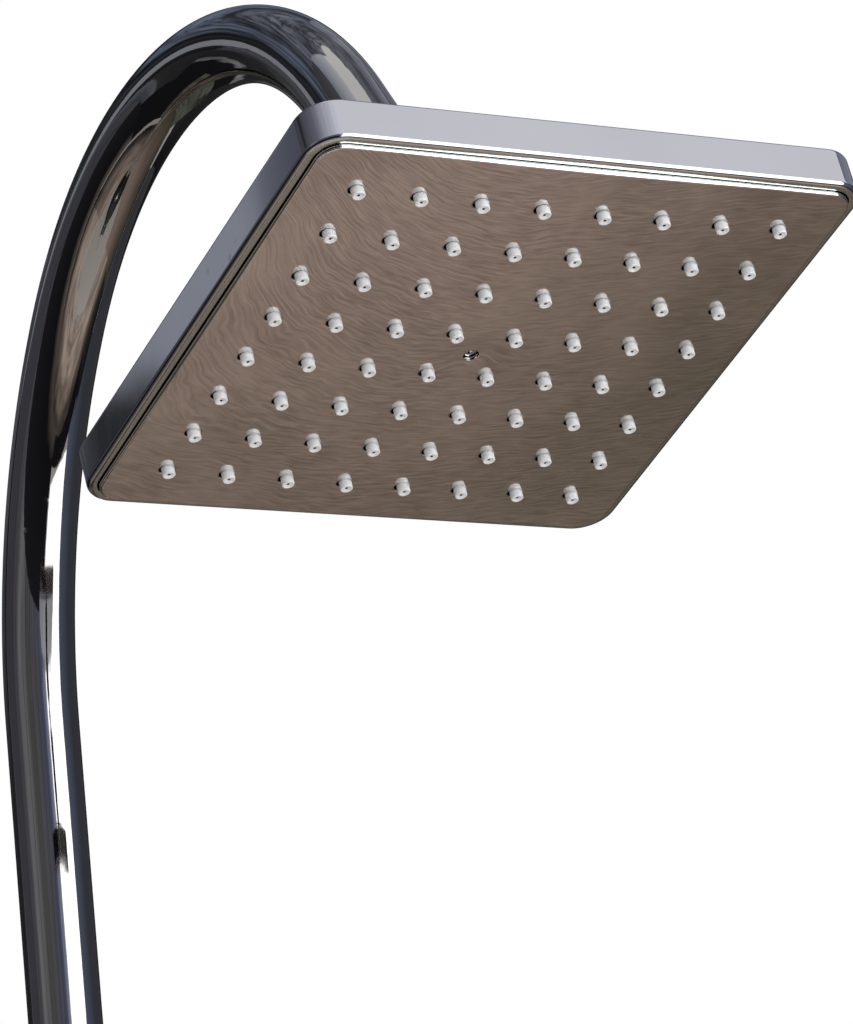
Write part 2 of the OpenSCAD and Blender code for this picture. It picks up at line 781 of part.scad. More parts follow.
module foot_tap_body() {
    color(chrome) front(foot_tap_z) difference() {
        union() {
            bulkhead_shank(shank_r, tap_flange_t);
            translate([0, 0, seat_face]) cylinder(r = tap_barrel_r, h = tap_front_u - seat_face);
            translate([0, 0, tap_valve_u]) rotate([90, 0, 0]) cylinder(r = spout_r, h = spout_l);
        }
        translate([0, 0, shank_end - bite]) cylinder(r = tap_way_r, h = tap_valve_u - shank_end + bite);
        translate([0, 0, tap_valve_u]) cylinder(r = tap_plug_r, h = tap_plug_l + 2);
        translate([0, 0, tap_valve_u]) cylinder(r = tap_spindle_r + running, h = knob_u);
        translate([0, 0, tap_valve_u]) rotate([90, 0, 0]) cylinder(r = tap_way_r, h = spout_l + bite);
    }
}

module foot_tap_seal() { front(foot_tap_z) bulkhead_washer(shank_r); }
module foot_tap_locknut() { front(foot_tap_z) bulkhead_locknut(shank_r); }
module inlet_seal() { rear(inlet_z) bulkhead_washer(shank_r); }
module inlet_locknut() { rear(inlet_z) bulkhead_locknut(shank_r); }

module foot_tap_spindle() {
    plug_u = tap_valve_u + 2;
    color(brass) front(foot_tap_z) difference() {
        union() {
            translate([0, 0, plug_u]) cylinder(r = tap_spindle_r, h = knob_u - plug_u + knob_t / 2);
            translate([0, 0, plug_u]) cylinder(r = tap_plug_r - moving, h = tap_plug_l - moving);
        }
        translate([0, 0, knob_u]) cylinder(r = knob_screw_r, h = knob_t);
    }
}

module foot_tap_knob() {
    recess = 3;
    color(chrome) front(foot_tap_z) translate([0, 0, knob_u]) difference() {
        cylinder(r = knob_r, h = knob_t);
        translate([0, 0, -bite]) cylinder(r = tap_spindle_r + running, h = knob_t / 2 + bite + slip);
        translate([0, 0, -bite]) cylinder(r = knob_screw_r, h = knob_t + 2 * bite);
        translate([0, 0, knob_t - recess]) cylinder(r = knob_screw_head_r, h = recess + bite);
        for (i = [0 : knob_flutes - 1]) rotate((i + 0.5) * 360 / knob_flutes)
            translate([knob_r + knob_flute_r / 2, 0, -bite]) cylinder(r = knob_flute_r, h = knob_t + 2 * bite);
    }
}

module foot_tap_screw() {
    color(steel) front(foot_tap_z) translate([0, 0, knob_u]) {
        translate([0, 0, 2]) cylinder(r = knob_screw_r - 2 * running, h = knob_t - 4);
        translate([0, 0, knob_t - 3 + running]) cylinder(r = knob_screw_head_r - 2 * moving, h = 2);
    }
}

module outlet_nipple() {
    tail = outlet_tail_l();
    color(brass) difference() {
        union() {
            translate([0, 0, upper_top - tail]) cylinder(r = nipple_shank_r, h = cap_top - upper_top + tail + bite);
            translate([0, 0, upper_top - tail - barb_l]) cylinder(r = barb_r, h = barb_l + bite);
            translate([0, 0, cap_top]) cylinder(r = nipple_flange_r, h = nipple_flange_t);
            translate([0, 0, cap_top]) cylinder(r = nipple_thread_r, h = nipple_top - cap_top);
        }
        translate([0, 0, nipple_top - swivel_l - 2]) cylinder(r = swivel_r + running, h = swivel_l + 2 + bite);
        translate([0, 0, upper_top - tail - barb_l - bite]) cylinder(r = port_bore_r, h = cap_top);
    }
}

module outlet_seal() {
    color(rubber) translate([0, 0, upper_top - washer_t])
        ring(nipple_shank_r + boss_wall, nipple_shank_r + slip, washer_t);
}

module outlet_locknut() {
    color(brass) translate([0, 0, upper_top - washer_t - locknut_t]) difference() {
        cylinder(r = nipple_shank_r + boss_wall, h = locknut_t, $fn = 6);
        translate([0, 0, -bite]) cylinder(r = nipple_shank_r + slip, h = locknut_t + 2 * bite);
    }
}

module slip_washer() {
    color(white) translate([0, 0, nipple_top]) ring(collar_r, swivel_r + slip, slip_washer_t);
}

module union_nut() {
    foot = cap_top + nipple_flange_t + 2;
    color(chrome) difference() {
        union() {
            translate([0, 0, foot]) cylinder(r = union_r, h = union_top - union_cone_h - foot);
            translate([0, 0, union_top - union_cone_h])
                cylinder(r1 = union_r, r2 = tube_r + union_lip_t, h = union_cone_h);
        }
        translate([0, 0, foot - bite]) cylinder(r = nipple_thread_r + slip, h = tube_z + moving - foot + bite);
        translate([0, 0, foot]) cylinder(r = tube_r + moving, h = union_top - foot + bite);
        spanner_flats(union_r, flat_cut, foot + flat_h / 2 - 2, flat_h);
    }
}

// What two spanner flats take off a nut of radius r, round a height z
module spanner_flats(r, cut, z, h) {
    for (s = [-1, 1]) translate([s * 2 * r - s * cut, 0, z]) cube([2 * r, 2 * r, h], center = true);
}

// Moves by whole millimetres and then by the rest, which keeps rounding far below a micron
module shift(v) {
    whole = [for (x = v) round(x)];
    translate(whole) translate(v - whole) children();
}

// Sweep of a ring along the gooseneck's centreline
module along_gooseneck(outer, inner) {
    module section() {
        difference() {
            circle(outer);
            circle(inner);
        }
    }
    arch_plane() translate([0, bend_z]) {
        translate([0, -leg_l]) rotate([-90, 0, 0]) linear_extrude(leg_l) section();
        translate([-leg_bend_r, 0]) {
            rotate_extrude(angle = leg_bend_a) translate([leg_bend_r, 0]) section();
            shift(arch_step) {
                rotate_extrude(start = leg_bend_a, angle = arch_bend_a) translate([arch_bend_r, 0]) section();
                shift(end_step) rotate_extrude(start = arch_a, angle = end_bend_a)
                    translate([end_bend_r, 0]) section();
            }
        }
    }
}

module gooseneck_tube() { color(chrome) along_gooseneck(tube_r, tube_bore_r); }

// Grooves for the two seals on the swivelling spigot, measured down from the collar
spigot_seal_d = 2.4;
spigot_seal_at = [9, 18];

module tube_foot() {
    plug_l = 18;
    color(brass) difference() {
        translate([0, 0, collar_z]) union() {
            translate([0, 0, -swivel_l]) cylinder(r = swivel_r, h = swivel_l + bite);
            cylinder(r = collar_r, h = collar_t);
            cylinder(r = tube_bore_r - running, h = collar_t + plug_l);
        }
        translate([0, 0, collar_z - swivel_l - bite])
            cylinder(r = water_r, h = swivel_l + collar_t + plug_l + 2 * bite);
        for (d = spigot_seal_at) translate([0, 0, collar_z - d - spigot_seal_d / 2 - slip / 2])
            ring(swivel_r + bite, swivel_r - spigot_seal_d, spigot_seal_d + slip);
    }
}

module spigot_seals() {
    color(rubber) for (d = spigot_seal_at) translate([0, 0, collar_z - d])
        seal(swivel_r - spigot_seal_d, spigot_seal_d);
}

module tube_end_fitting() {
    color(brass) tube_end() difference() {
        union() {
            translate([0, 0, ball_reach]) cylinder(r = end_thread_r, h = end_thread_l + bite);
            translate([0, 0, ball_reach + end_thread_l]) cylinder(r = tube_r, h = end_shoulder_t);
            translate([0, 0, end_tube_u]) cylinder(r = tube_bore_r - running, h = end_plug_l);
        }
        translate([0, 0, ball_reach - bite])
            cylinder(r = water_r, h = end_thread_l + end_shoulder_t + end_plug_l + 2 * bite);
    }
}

module end_nut() {
    top = ball_reach + end_thread_l - slip;
    color(chrome) tube_end() difference() {
        translate([0, 0, end_nut_u]) cylinder(r = end_nut_af / 2 / cos(30), h = top - end_nut_u, $fn = 6);
        translate([0, 0, end_nut_u - bite]) cylinder(r = neck_r + moving, h = top);
        translate([0, 0, end_nut_u + end_nut_lip_t]) cylinder(r = end_thread_r + running, h = top);
    }
}

module end_washer() {
    color(rubber) tube_end() translate([0, 0, ball_reach - end_washer_t])
        ring(end_thread_r - slip, water_r, end_washer_t);
}

module ball_stem() {
    color(chrome) tube_end() difference() {
        union() {
            sphere(ball_r, $fn = 96);
            cylinder(r = neck_r, h = stem_top);
            translate([0, 0, stem_flange_u]) cylinder(r = stem_flange_r, h = stem_flange_t);
        }
        translate([0, 0, -ball_r - bite]) cylinder(r = neck_bore_r, h = ball_r + stem_top + 2 * bite);
    }
}

module ball_seat() {
    color(white) head() difference() {
        translate([0, 0, seat_z]) cylinder(r = socket_bore_r - running, h = seat_top_z - seat_z);
        translate([0, 0, ball_h]) sphere(ball_r + running, $fn = 96);
        translate([0, 0, seat_z - bite]) cylinder(r = seat_bore_r, h = ball_rise);
    }
}

module ball_nut() {
    color(chrome) head() difference() {
        union() {
            translate([0, 0, ball_nut_z]) cylinder(r = ball_nut_r, h = ball_nut_top - ball_nut_z - 2);
            translate([0, 0, ball_nut_top - 2]) cylinder(r1 = ball_nut_r, r2 = ball_nut_r - 2, h = 2);
        }
        translate([0, 0, ball_nut_z - bite]) cylinder(r = socket_r + slip, h = socket_top_z + slip - ball_nut_z + bite);
        translate([0, 0, ball_h]) sphere(ball_r + moving, $fn = 96);
        translate([0, 0, socket_top_z]) cylinder(r = ball_r + moving, h = ball_h - socket_top_z);
        // The flare that lets the neck lean
        translate([0, 0, ball_h]) cylinder(r1 = lip_r(0), r2 = lip_r(ball_r), h = ball_r);
        spanner_flats(ball_nut_r, flat_cut - 0.2, ball_nut_z + 8, flat_h - 2);
    }
}

// Radius of the ball nut's opening at a height over the ball's centre
function lip_r(h) = (neck_r + moving) / cos(ball_range) + tan(ball_range) * h + 0.2;

// Slab whose rim has the section drawn by children(), which runs from x = 0 to its corner radius
module slab(w, r) {
    at = w / 2 - r;
    for (i = [0 : 3]) rotate(90 * i) {
        translate([at, at, 0]) rotate_extrude(angle = 90) children();
        translate([at, at, 0]) rotate([90, 0, 0]) linear_extrude(2 * at) children();
    }
}

// Section of the head's wall, with rounded outer edges
module wall_section() {
    e = head_edge_r;
    difference() {
        union() {
            translate([head_corner_r - rim_w, e]) square([rim_w, head_h - 2 * e]);
            translate([head_corner_r - rim_w, 0]) square([rim_w - e, head_h]);
            for (y = [e, head_h - e]) translate([head_corner_r - e, y]) circle(e, $fn = 48);
        }
        translate([-bite, -bite]) square([head_corner_r - rim_w + bite, head_h + 2 * bite]);
    }
}

module head_back() {
    top_w = head_w - 2 * rim_w;
    color(chrome) head() difference() {
        union() {
            slab(head_w, head_corner_r) wall_section();
            translate([0, 0, ceiling_z]) linear_extrude(back_t) rounded_square(top_w + bite, cavity_r + bite / 2);
            // Rib that the chamber's seal presses on
            translate([0, 0, rib_z]) linear_extrude(ceiling_z - rib_z + bite) difference() {
                rounded_square(inner_w, inner_r);
                rounded_square(inner_w - 2 * seal_w, inner_r - seal_w / 2);
            }
            translate([0, 0, chamber_z]) at_posts() cylinder(r = post_r, h = ceiling_z - chamber_z + bite);
            translate([0, 0, chamber_z]) cylinder(r = centre_boss_r, h = ceiling_z - chamber_z + bite);
            translate([0, 0, ceiling_z]) cylinder(r = socket_r, h = socket_top_z - ceiling_z);
        }
        translate([0, 0, socket_floor_z]) cylinder(r = socket_bore_r, h = ball_h);
        // Water passes round the centre screw's boss
        for (i = [0 : 5]) rotate(60 * i) translate([(centre_boss_r + socket_bore_r) / 2 - 0.4, 0, chamber_z])
            cylinder(r = 2, h = head_h);
        translate([0, 0, chamber_z - bite]) cylinder(r = screw_r, h = head_h - chamber_z + bite + 3);
        at_posts() translate([0, 0, chamber_z - bite])
            cylinder(r = post_screw_r, h = ceiling_z - chamber_z + bite / 2);
    }
}

module flow_disc() {
    color(white) head() translate([0, 0, seat_z]) ring(seat_bore_r - slip, outlet_d * 2, flow_disc_t);
}

module chamber_seal() {
    color(rubber) head() translate([0, 0, chamber_z]) linear_extrude(chamber_seal_t) difference() {
        rounded_square(inner_w, inner_r);
        rounded_square(inner_w - 2 * seal_w, inner_r - seal_w / 2);
    }
}

module spray_plate() {
    color(black) head() translate([0, 0, spray_z]) difference() {
        linear_extrude(spray_t) rounded_square(inner_w, inner_r);
        at_nozzles() translate([0, 0, -bite]) cylinder(r = nozzle_d / 4, h = spray_t + 2 * bite);
        at_posts() translate([0, 0, -bite]) cylinder(r = post_screw_r, h = spray_t + 2 * bite);
        translate([0, 0, -bite]) cylinder(r = screw_r + slip, h = spray_t + 2 * bite);
    }
}

module nozzle_mat() {
    tip_w = 0.4;
    low_z = face_z(0) - nozzle_l - bite;
    color(white) head() difference() {
        union() {
            translate([0, 0, mat_z]) linear_extrude(nozzle_mat_t) rounded_square(inner_w, inner_r);
            for (x = nozzle_at, y = nozzle_at) let (tip = face_z(norm([x, y])) - nozzle_l)
                translate([x, y, tip]) {
                    translate([0, 0, tip_w]) cylinder(r = nozzle_d / 2, h = mat_z - tip - tip_w + bite / 2, $fn = 32);
                    cylinder(r1 = nozzle_d / 2 - tip_w, r2 = nozzle_d / 2, h = tip_w, $fn = 32);
                }
        }
        at_nozzles() translate([0, 0, low_z]) cylinder(r = outlet_d / 2, h = spray_z + bite - low_z, $fn = 16);
        translate([0, 0, mat_z - bite]) cylinder(r = screw_hole_r, h = nozzle_mat_t + 2 * bite);
        at_posts() translate([0, 0, mat_z - bite]) cylinder(r = screw_hole_r, h = nozzle_mat_t + 2 * bite);
    }
}

// Space above a shallow dome whose lowest point is at z
module above_dome(z) {
    reach = 0.75 * face_w;
    translate([0, 0, z]) rotate_extrude() polygon(concat(
        [for (i = [0 : dome_rings]) let (r = i * reach / dome_rings)
            [r, bulge_r - sqrt(pow(bulge_r, 2) - pow(r, 2))]],
        [[reach, 20], [0, 20]]));
}

// The plate is flat at its corners, where the dome would sink under its edge
module face_plate() {
    outer_z = face_edge_z - face_bulge;
    deep = face_back_z - outer_z + 2 * bite;
    color(chrome) head() difference() {
        intersection() {
            translate([0, 0, outer_z - bite]) linear_extrude(face_back_z - outer_z + bite)
                rounded_square(face_w, face_r);
            union() {
                above_dome(outer_z);
                translate([0, 0, face_corner_z]) cylinder(r = 0.8 * face_w, h = deep);
            }
        }
        // Room over the dome, inside the wall that carries the mat's edge
        intersection() {
            above_dome(outer_z + face_t);
            translate([0, 0, outer_z]) linear_extrude(deep) difference() {
                rounded_square(hollow_w, hollow_r);
                circle(r = face_boss_r);
            }
        }
        at_nozzles() translate([0, 0, outer_z - bite]) cylinder(r = nozzle_hole_d / 2, h = deep);
        translate([0, 0, outer_z - bite]) cylinder(r = screw_hole_r, h = deep);
    }
}

module centre_screw() {
    head_z = face_z(0) + screw_recess;
    color(chrome) head() difference() {
        union() {
            translate([0, 0, head_z]) cylinder(r = screw_head_r, h = spray_z - head_z - 0.05);
            translate([0, 0, head_z]) cylinder(r = screw_r - running, h = head_h - head_z);
        }
        translate([0, 0, head_z - bite]) cylinder(r = 1.2, h = bite + 1.2, $fn = 6);
    }
}

module head_screws() {
    head_t = 1.5;
    color(steel) head() at_posts() {
        translate([0, 0, spray_z - head_t]) cylinder(r = screw_head_r, h = head_t);
        translate([0, 0, spray_z - bite])
            cylinder(r = post_screw_r - running, h = ceiling_z - spray_z + bite - head_t);
    }
}

ground_mat();
ground_plate();
column_foot();
foot_bolts_set();
foot_seal();
foot_cover();
lower_tank();
upper_tank();
coupling_ring();
coupling_seals();
top_cap();
cap_seal();
hose_inlet();
inlet_seal();
inlet_locknut();
check_valve();
drain_plug();
drain_seal();
cold_tube();
hot_tube();
riser_tube();
mixer_body();
mixer_seal();
mixer_locknut();
mixer_cartridge();
mixer_nose();
mixer_rotor();
rotor_pin();
lever_stem();
lever_hub();
lever_rod();
lever_screw();
foot_tap_body();
foot_tap_seal();
foot_tap_locknut();
foot_tap_spindle();
foot_tap_knob();
foot_tap_screw();
outlet_nipple();
outlet_seal();
outlet_locknut();
slip_washer();
union_nut();
gooseneck_tube();
tube_foot();
spigot_seals();
tube_end_fitting();
end_nut();
end_washer();
ball_stem();
ball_seat();
ball_nut();
head_back();
flow_disc();
chamber_seal();
spray_plate();
nozzle_mat();
face_plate();
centre_screw();
head_screws();
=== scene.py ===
"""Looks of a solar outdoor shower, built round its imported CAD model.

Everything is in metres and in the CAD model's frame: +Z is up, the Z axis is the column's axis, and the
rain head hangs towards -Y.
"""

import json
import logging
import math
from dataclasses import dataclass, field
from enum import Enum
from typing import Any, Callable, Iterable, Optional, Sequence

import bmesh
import bpy
from mathutils import Matrix, Vector

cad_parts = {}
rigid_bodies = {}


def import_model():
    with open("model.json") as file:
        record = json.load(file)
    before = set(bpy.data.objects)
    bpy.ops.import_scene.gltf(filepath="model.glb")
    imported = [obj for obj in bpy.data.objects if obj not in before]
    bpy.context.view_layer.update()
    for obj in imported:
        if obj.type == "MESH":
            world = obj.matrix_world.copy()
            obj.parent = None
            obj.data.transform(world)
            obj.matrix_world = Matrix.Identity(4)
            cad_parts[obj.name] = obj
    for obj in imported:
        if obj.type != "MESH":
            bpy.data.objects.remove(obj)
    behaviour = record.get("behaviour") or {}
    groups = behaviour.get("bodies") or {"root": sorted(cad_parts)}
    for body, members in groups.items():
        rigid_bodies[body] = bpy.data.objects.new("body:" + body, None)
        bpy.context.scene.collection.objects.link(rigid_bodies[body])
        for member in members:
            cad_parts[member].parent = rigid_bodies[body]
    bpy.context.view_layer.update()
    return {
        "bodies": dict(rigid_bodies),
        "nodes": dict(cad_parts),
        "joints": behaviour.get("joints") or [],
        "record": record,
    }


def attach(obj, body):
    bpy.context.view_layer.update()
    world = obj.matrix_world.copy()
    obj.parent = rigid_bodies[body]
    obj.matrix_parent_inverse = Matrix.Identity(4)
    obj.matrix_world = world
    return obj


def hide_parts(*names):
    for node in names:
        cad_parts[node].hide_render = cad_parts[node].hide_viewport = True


log = logging.getLogger("shower")

Colour = tuple[float, float, float]
# A place, a direction, or a scale along each axis
Triple = tuple[float, float, float]
# A point of a profile, or the two ends of a span
Pair = tuple[float, float]
# Radius of a turned piece, from an angle and its profile's radius and height
Shape = Callable[[float, float, float], float]
# Pairs of an angle and the tone there
Tones = tuple[tuple[float, Colour], ...]


# Frames


@dataclass(frozen=True)
class Layout:
    """Places that the CAD source gives, in metres and degrees."""

    tube_foot_z: float = 1.7159
    ball_y: float = -0.339708
    ball_z: float = 2.05226
    tube_end_lean: float = 36.8385
    head_lean: float = 16.5
    ball_over_rim: float = 0.0413
    mixer_z: float = 1.092
    foot_tap_z: float = 0.308
    inlet_z: float = 0.128

    def tube_end(self) -> Matrix:
        """Frame at the ball's centre, with +Z up the tube."""
        return Matrix.Translation((0, self.ball_y, self.ball_z)) @ Matrix.Rotation(
            -math.radians(self.tube_end_lean), 4, "X")

    def head(self) -> Matrix:
        """Frame at the middle of the head's rim, with +Z out of the head's back."""
        lean = Matrix.Rotation(-math.radians(self.head_lean), 4, "X")
        return (Matrix.Translation((0, self.ball_y, self.ball_z)) @ lean
                @ Matrix.Translation((0, 0, -self.ball_over_rim)))

    def front(self, height: float) -> Matrix:
        """Frame on the column's axis at a height, with +Z towards -Y.

        Args:
            height: Height over the ground, in metres.

        Returns:
            The frame as a matrix.
        """
        return Matrix.Translation((0, 0, height)) @ Matrix.Rotation(math.radians(90), 4, "X")

    def rear(self, height: float) -> Matrix:
        """Frame on the column's axis at a height, with +Z towards +Y.

        Args:
            height: Height over the ground, in metres.

        Returns:
            The frame as a matrix.
        """
        return Matrix.Translation((0, 0, height)) @ Matrix.Rotation(math.radians(-90), 4, "X")


# Mesh making


class Skin:
    """Collects rings of points, and joins neighbouring rings with quads."""

    def __init__(self) -> None:
        """Starts with no points and no faces."""
        self.points: list[Vector] = []
        self.faces: list[tuple[int, ...]] = []

    def ring(self, points: Iterable[Sequence[float]]) -> list[int]:
        """Adds points.

        Args:
            points: The points to add, in order.

        Returns:
            Their numbers in the mesh.
        """
        start = len(self.points)
        self.points.extend(Vector(p) for p in points)
        return list(range(start, len(self.points)))

    def bridge(self, a: Sequence[int], b: Sequence[int], closed: bool = True) -> None:
        """Joins two rings of the same length with quads.

        Args:
            a: Numbers of the first ring.
            b: Numbers of the second ring.
            closed: Whether the rings run round.
        """
        count = len(a)
        for i in range(count if closed else count - 1):
            j = (i + 1) % count
            self.faces.append((a[i], a[j], b[j], b[i]))

    def loft(self, rings: Sequence[Sequence[int]], round_again: bool = False) -> None:
        """Joins a row of rings, each with the next.

        Args:
            rings: Numbers of each ring.
            round_again: Whether the last ring joins the first.
        """
        for a, b in zip(rings, rings[1:]):
            self.bridge(a, b)
        if round_again:
            self.bridge(rings[-1], rings[0])

    def lid(self, ring: Sequence[int], centre: Sequence[float]) -> None:
        """Closes a ring with a fan of triangles.

        Args:
            ring: Numbers of the ring.
            centre: The fan's middle point.
        """
        middle = self.ring([centre])[0]
        for i, a in enumerate(ring):
            self.faces.append((a, ring[(i + 1) % len(ring)], middle))

    def piece(self, name: str, frame: Matrix, crease: float) -> bpy.types.Object:
        """Makes the object, with smooth faces and sharp creases.

        Args:
            name: Name of the object and its mesh.
            frame: Where its points lie in the world.
            crease: Angle in degrees over which an edge stays sharp.

        Returns:
            The object, linked to the scene, with its place in its mesh.
        """
        mesh = bpy.data.meshes.new(name)
        mesh.from_pydata([frame @ p for p in self.points], [], self.faces)
        work = bmesh.new()
        work.from_mesh(mesh)
        bmesh.ops.remove_doubles(work, verts=work.verts, dist=1e-6)
        bmesh.ops.recalc_face_normals(work, faces=work.faces)
        work.to_mesh(mesh)
        work.free()
        mesh.shade_smooth()
        mesh.set_sharp_from_angle(angle=math.radians(crease))
        piece = bpy.data.objects.new(name, mesh)
        bpy.context.scene.collection.objects.link(piece)
        return piece


def circle(radius: float, z: float, count: int) -> list[Vector]:
    """Points round a circle over the local XY plane.

    Args:
        radius: Radius in metres.
        z: Height in metres.
        count: Number of points.

    Returns:
        The points.
    """
    step = 2 * math.pi / count
    return [Vector((radius * math.cos(i * step), radius * math.sin(i * step), z)) for i in range(count)]


def rounded_square(half: float, corner: float, z: float, steps: int = 12) -> list[Vector]:
    """Points round a square with rounded corners.

    Args:
        half: Half of its side, in metres.
        corner: Radius of its corners.
        z: Height in metres.
        steps: Number of steps round each corner.

    Returns:
        The points, from the first corner round.
    """
    centre = half - corner
    points = []
    for quarter, (sx, sy) in enumerate(((1, 1), (-1, 1), (-1, -1), (1, -1))):
        for i in range(steps + 1):
            a = math.pi / 2 * (quarter + i / steps)
            x, y = corner * math.cos(a), corner * math.sin(a)
            points.append(Vector((sx * centre + x, sy * centre + y, z)))
    return points


def arc(centre: Pair, radius: float, start: float, end: float, steps: int) -> list[Pair]:
    """Points along an arc in a profile.

    Args:
        centre: Centre of the arc.
        radius: Its radius.
        start: First angle, in degrees.
        end: Last angle, in degrees.
        steps: Number of steps.

    Returns:
        The points, both ends included.
    """
    angles = [math.radians(start + (end - start) * i / steps) for i in range(steps + 1)]
    return [(centre[0] + radius * math.cos(a), centre[1] + radius * math.sin(a)) for a in angles]


def turned(name: str, profile: Sequence[Pair], frame: Matrix, count: int, crease: float,
           closed: bool = False, shape: Optional[Shape] = None) -> bpy.types.Object:
    """Makes a piece turned from a profile of radii and heights.

    Args:
        name: Name of the piece.
        profile: Pairs of radius and height. A radius of zero closes the piece there.
        frame: Where the piece stands.
        count: Number of points round.
        crease: Angle in degrees over which an edge stays sharp.
        closed: Whether the profile's end joins its start.
        shape: What turns a point's radius into another, for flats, flutes and ribs.

    Returns:
        The piece.
    """
    skin = Skin()
    rings = []
    for r, z in profile:
        if r <= 0:
            continue
        points = circle(r, z, count)
        if shape:
            for i, p in enumerate(points):
                p.xy = p.xy * (shape(2 * math.pi * i / count, r, z) / r)
        rings.append(skin.ring(points))
    skin.loft(rings, closed)
    if profile[0][0] <= 0:
        skin.lid(rings[0], (0, 0, profile[0][1]))
    if profile[-1][0] <= 0:
        skin.lid(rings[-1], (0, 0, profile[-1][1]))
    return skin.piece(name, frame, crease)


def steps_to(low: float, high: float, step: float) -> list[float]:
    """Even steps between two heights.

    Args:
        low: First height.
        high: Last height.
        step: Greatest step.

    Returns:
        The heights, both ends included.
    """
    count = max(1, math.ceil((high - low) / step))
    return [low + (high - low) * i / count for i in range(count + 1)]


def groove(radius: float, low: float, top: float, depth: float, slope: float) -> list[Pair]:
    """Profile points of a groove round a piece.

    Args:
        radius: The piece's radius there.
        low: Height of its lower edge.
        top: Height of its upper edge.
        depth: How deep it goes.
        slope: Height of each of its sloping sides.

    Returns:
        Its four points, from the lowest up.
    """
    return [(radius, low), (radius - depth, low + slope), (radius - depth, top - slope), (radius, top)]


def hexagon(angle: float, across: float) -> float:
    """Radius of a hexagon at an angle, from its size across the flats."""
    return across / 2 / math.cos(angle % (math.pi / 3) - math.pi / 6)


# Finishes


class Recipe:
    """A material's node tree, with short ways to add its nodes."""

    def __init__(self, name: str) -> None:
        """Starts a material with one Principled shader.

        Args:
            name: Name of the material.
        """
        self.material = bpy.data.materials.new(name)
        self.material.use_nodes = True
        self.tree = self.material.node_tree
        self.shader = self.tree.nodes["Principled BSDF"]
        self.output = self.tree.nodes["Material Output"]
        self.place = self.tree.nodes.new("ShaderNodeTexCoord").outputs["Object"]

    def add(self, kind: str, **inputs: Any) -> bpy.types.Node:
        """Adds a node and sets or links its inputs.

        Args:
            kind: The node's type, without its ShaderNode prefix.
            inputs: Values or sockets by input name, with spaces written as underscores.

        Returns:
            The node.
        """
        node = self.tree.nodes.new("ShaderNode" + kind)
        for key, value in inputs.items():
            self.put(node.inputs[key.replace("_", " ")], value)
        return node

    def put(self, socket: bpy.types.NodeSocket, value: Any) -> None:
        """Sets a socket's value, or links another socket into it.

        Args:
            socket: The input socket.
            value: A number, a colour, a vector or an output socket.
        """
        if isinstance(value, bpy.types.NodeSocket):
            self.tree.links.new(value, socket)
        elif isinstance(value, (tuple, list)) and len(value) == 3 and socket.type == "RGBA":
            socket.default_value = (*value, 1.0)
        else:
            socket.default_value = value

    def set(self, **inputs: Any) -> None:
        """Sets or links the shader's own inputs.

        Args:
            inputs: Values or sockets by input name, with spaces written as underscores.
        """
        for key, value in inputs.items():
            self.put(self.shader.inputs[key.replace("_", " ")], value)

    def stretched(self, scale: Sequence[float], turn: Sequence[float] = (0, 0, 0),
                  source: Optional[bpy.types.NodeSocket] = None) -> bpy.types.NodeSocket:
        """Coordinates stretched along their axes.

        Args:
            scale: Scale along each axis.
            turn: Rotation round each axis, in degrees.
            source: Coordinates to stretch, or None for the object's own.

        Returns:
            The stretched coordinates.
        """
        node = self.add("Mapping", Vector=source or self.place, Scale=tuple(scale),
                        Rotation=tuple(math.radians(a) for a in turn))
        return node.outputs["Vector"]

    def noise(self, scale: float, detail: float = 4.0, roughness: float = 0.5,
              vector: Optional[bpy.types.NodeSocket] = None,
              distortion: float = 0.0) -> bpy.types.NodeSocket:
        """Cloudy noise.

        Args:
            scale: Features per metre.
            detail: Number of finer layers.
            roughness: Strength of the finer layers.
            vector: Coordinates, or None for the object's own.
            distortion: How far the noise warps itself.

        Returns:
            The noise, from 0 to 1.
        """
        node = self.add("TexNoise", Vector=vector or self.place, Scale=scale, Detail=detail,
                        Roughness=roughness, Distortion=distortion)
        return node.outputs["Fac"]

    def between(self, fac: bpy.types.NodeSocket, low: float, high: float, start: float = 0.0,
                end: float = 1.0) -> bpy.types.NodeSocket:
        """Maps a factor's range onto another range.

        Args:
            fac: The factor.
            low: Factor that gives the start value.
            high: Factor that gives the end value.
            start: Value at low.
            end: Value at high.

        Returns:
            The mapped value, held within the range.
        """
        node = self.add("MapRange", Value=fac)
        for name, value in (("From Min", low), ("From Max", high), ("To Min", start), ("To Max", end)):
            node.inputs[name].default_value = value
        return node.outputs["Result"]

    def blend(self, fac: Any, a: Any, b: Any) -> bpy.types.NodeSocket:
        """Mixes two colours.

        Args:
            fac: Share of the second colour.
            a: First colour.
            b: Second colour.

        Returns:
            The mixed colour.
        """
        node = self.tree.nodes.new("ShaderNodeMix")
        node.data_type = "RGBA"
        for socket, value in ((node.inputs[0], fac), (node.inputs[6], a), (node.inputs[7], b)):
            self.put(socket, value)
        return node.outputs[2]

    def flat(self, layer: str) -> bpy.types.NodeSocket:
        """Coordinates of one of the mesh's flat layers.

        Args:
            layer: Name of the layer.

        Returns:
            The coordinates.
        """
        node = self.add("UVMap")
        node.uv_map = layer
        return node.outputs["UV"]

    def length(self, vector: bpy.types.NodeSocket) -> bpy.types.NodeSocket:
        """Length of a vector, such as the distance of a place from the origin.

        Args:
            vector: The vector.

        Returns:
            Its length.
        """
        node = self.add("VectorMath", Vector=vector)
        node.operation = "LENGTH"
        return node.outputs["Value"]

    def sums(self, kind: str, a: Any, b: Any) -> bpy.types.NodeSocket:
        """Joins two values by arithmetic.

        Args:
            kind: The operation's name.
            a: First value.
            b: Second value.

        Returns:
            The result.
        """
        node = self.tree.nodes.new("ShaderNodeMath")
        node.operation = kind
        self.put(node.inputs[0], a)
        self.put(node.inputs[1], b)
        return node.outputs[0]

